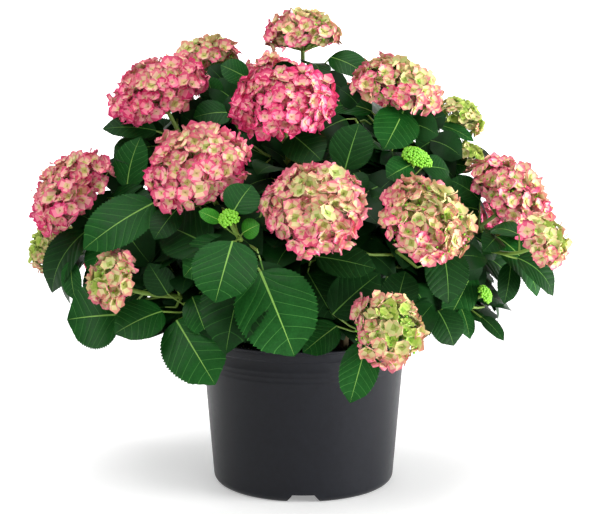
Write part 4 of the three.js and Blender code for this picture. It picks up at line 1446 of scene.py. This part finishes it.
def turned(name, profile, sides=144):
    """A solid of revolution about the pot's axis. The profile starts and ends on the axis."""
    vertices = [(0, 0, profile[0][1] * MM), (0, 0, profile[-1][1] * MM)]
    rings = profile[1:-1]
    for radius, z in rings:
        for k in range(sides):
            a = 2 * math.pi * (k + 0.5) / sides
            vertices.append((radius * MM * math.cos(a), radius * MM * math.sin(a), z * MM))
    faces = []
    for k in range(sides):
        follow = (k + 1) % sides
        faces.append([0, 2 + follow, 2 + k])
        for i in range(len(rings) - 1):
            a, b = 2 + i * sides, 2 + (i + 1) * sides
            faces.append([a + k, a + follow, b + follow, b + k])
        top = 2 + (len(rings) - 1) * sides
        faces.append([1, top + k, top + follow])
    return mesh_object(name, vertices, (), faces)


def channel_bar(name, turn, margin):
    """The bar that one drainage channel is cut with, grown by a margin."""
    foot, top = CHANNEL["foot"] / 2 + margin, CHANNEL["top"] / 2 + margin
    ends = (CHANNEL["inner"] - margin, POT["lip_radius"] + CHANNEL["inner"])
    height = CHANNEL["height"] + margin
    corners = [(-foot, -1), (foot, -1), (top, height), (-top, height)]
    vertices = []
    for y in ends:
        for x, z in corners:
            px, py = x * math.cos(turn) + y * math.sin(turn), x * math.sin(turn) - y * math.cos(turn)
            vertices.append((px * MM, py * MM, z * MM))
    faces = [[3, 2, 1, 0], [4, 5, 6, 7]] + [[i, (i + 1) % 4, (i + 1) % 4 + 4, i + 4] for i in range(4)]
    return mesh_object(name, vertices, (), faces)


def drain_hole(name, turn):
    x, y = CHANNEL["drain_at"] * math.sin(turn), -CHANNEL["drain_at"] * math.cos(turn)
    made = turned(name, [(0, -5), (CHANNEL["drain"], -5), (CHANNEL["drain"], 30), (0, 30)], 20)
    for v in made.data.vertices:
        v.co.x += x * MM
        v.co.y += y * MM
    return made


def cut(body, tool):
    """Cuts a tool out of a body with one Boolean, and drops the tool."""
    modifier = body.modifiers.new("cut", "BOOLEAN")
    modifier.object, modifier.operation, modifier.solver = tool, "DIFFERENCE", "EXACT"
    made = evaluated_mesh(body)
    body.modifiers.remove(modifier)
    body.data = made
    bpy.data.objects.remove(tool)


def wall_radius(z):
    slope = (POT["shoulder"] - POT["base"]) / (POT["band_foot"] - POT["heel"])
    return POT["base"] + slope * (z - POT["heel"])


RIM_EDGE = 1.2  # the bevel inside the rim
RINGS = (158, 165, 172)
RING = ((0, -0.8), (0.22, 0), (0, 0.8))  # a ring's own outline: out from the wall, and up


def pot_outline():
    """The outside of the pot: heel, tapered wall with moulded rings, rim band and rounded lip."""
    heel = [
        (mix(POT["foot"], POT["base"], math.sin(a)), POT["heel"] * (1 - math.cos(a)))
        for a in np.linspace(0, math.pi / 2, 8)
    ]
    rings = []
    for z in RINGS:
        rings += [(wall_radius(z) + step, z + rise) for step, rise in RING]
    band = [
        (wall_radius(POT["band_foot"] - 1), POT["band_foot"] - 1),
        (POT["band"] - 0.6, POT["band_foot"] + 0.6),
        (POT["band"], POT["band_foot"] + 1.6),
        (POT["band"], POT["height"] - POT["lip"]),
        (POT["lip_radius"] - 0.4, POT["height"] - POT["lip"] + 0.6),
        (POT["lip_radius"], POT["height"] - POT["lip"] + 1.4),
        (POT["lip_radius"], POT["height"] - 0.9),
        (POT["lip_radius"] - 0.5, POT["height"] - 0.2),
        (POT["lip_radius"] - 1.2, POT["height"]),
    ]
    return [(0, 0), *heel, *rings, *band, (0, POT["height"])]


def build_pot():
    dark, light = colour(18, 19, 24), colour(23, 25, 31)
    plastic = grained_finish("pot_plastic", dark, light, (0.36, 0.44), 0.9, 0.05, specular=0.19)
    top, inside = POT["height"] + 2, wall_radius(POT["height"]) - POT["wall"]
    cavity = [
        (0, POT["floor"]),
        (POT["foot"], POT["floor"]),
        (wall_radius(POT["heel"]) - POT["wall"], POT["heel"]),
        (inside, POT["height"] - RIM_EDGE),
        (inside + RIM_EDGE, POT["height"] + 0.01),
        (inside + RIM_EDGE, top),
        (0, top),
    ]
    turns = [2 * math.pi * k / CHANNEL["count"] for k in range(CHANNEL["count"])]
    room = turned("pot_room", cavity)
    for k, turn in enumerate(turns):
        cut(room, channel_bar(f"hump_{k}", turn, POT["wall"]))
    shell = turned("pot_shell", pot_outline())
    cut(shell, room)
    for k, turn in enumerate(turns):
        cut(shell, channel_bar(f"channel_{k}", turn, 0))
        cut(shell, drain_hole(f"drain_{k}", turn))
    shell.data.materials.clear()
    shell.data.materials.append(plastic)
    shell.data.shade_smooth()
    shell.data.set_sharp_from_angle(angle=math.radians(34))
    finished(shell, ["pot"])


# ---------------- studio and camera

CAMERA = {"place": (0, -2.0, 0.6), "pitch": 8.56, "pan": 3.5 / 1535, "lens": 92.1}
SWEEP = {"width": 44, "front": -22, "bend": 4.7, "radius": 1.4, "height": 4}
PAPER_GLOW = 0.3
SKY_GLOW = 0.42


def build_stage():
    """A pale floor that curves up into a backdrop."""
    arc = [
        (SWEEP["bend"] + SWEEP["radius"] * math.sin(a), SWEEP["radius"] * (1 - math.cos(a)))
        for a in np.linspace(0, math.pi / 2, 16)
    ]
    line = [(SWEEP["front"], 0), *arc, (SWEEP["bend"] + SWEEP["radius"], SWEEP["height"])]
    vertices = [(side * SWEEP["width"] / 2, y, z) for y, z in line for side in (-1, 1)]
    faces = [[2 * i, 2 * i + 1, 2 * i + 3, 2 * i + 2] for i in range(len(line) - 1)]
    sweep = mesh_object("studio_sweep", vertices, (), faces)
    sweep.data.shade_smooth()
    paper = plain_finish("studio_paper", (0.86, 0.86, 0.86, 1), 0.9)
    glow = {"Emission Color": (1, 1, 1, 1), "Emission Strength": PAPER_GLOW}
    fill(paper.node_tree, paper.node_tree.nodes["Principled BSDF"], glow)
    sweep.data.materials.append(paper)


def soft_light(name, place, target, size, watts):
    lamp = bpy.data.lights.new(name, "AREA")
    lamp.shape, lamp.size, lamp.size_y = "RECTANGLE", *size
    lamp.energy = watts
    made = bpy.data.objects.new(name, lamp)
    made.location = place
    way = np.array(target) - np.array(place)
    made.rotation_euler = (math.acos(-way[2] / np.linalg.norm(way)), 0, math.atan2(-way[0], way[1]))
    bpy.context.scene.collection.objects.link(made)


def build_lights():
    middle = (0, 0, 0.35)
    soft_light("key_light", (-0.7, -1.6, 2.2), middle, (1.2, 1.2), 32)
    soft_light("right_light", (1.8, -0.75, 0.34), (0, 0, 0.15), (1.1, 0.5), 54)
    soft_light("top_light", (0.2, 0.3, 2.4), middle, (1.6, 1.6), 22)
    soft_light("backdrop_light", (0, 2.4, 3.4), (0, 5.8, 0.9), (9, 1), 520)
    world = bpy.data.worlds.new("studio")
    world.use_nodes = True
    sky = {"Color": (1, 1, 1, 1), "Strength": SKY_GLOW}
    fill(world.node_tree, world.node_tree.nodes["Background"], sky)
    bpy.context.scene.world = world
    bpy.context.scene.view_settings.view_transform = "Standard"


def build_camera():
    data = bpy.data.cameras.new("camera")
    data.lens = CAMERA["lens"]
    camera = bpy.data.objects.new("camera", data)
    camera.location = CAMERA["place"]
    camera.rotation_euler = (math.radians(90 - CAMERA["pitch"]), 0, CAMERA["pan"])
    bpy.context.scene.collection.objects.link(camera)
    bpy.context.scene.camera = camera


build_camera()
build_stage()
build_lights()
build_pot()
build_soil()
build_plant(plan_shrub())
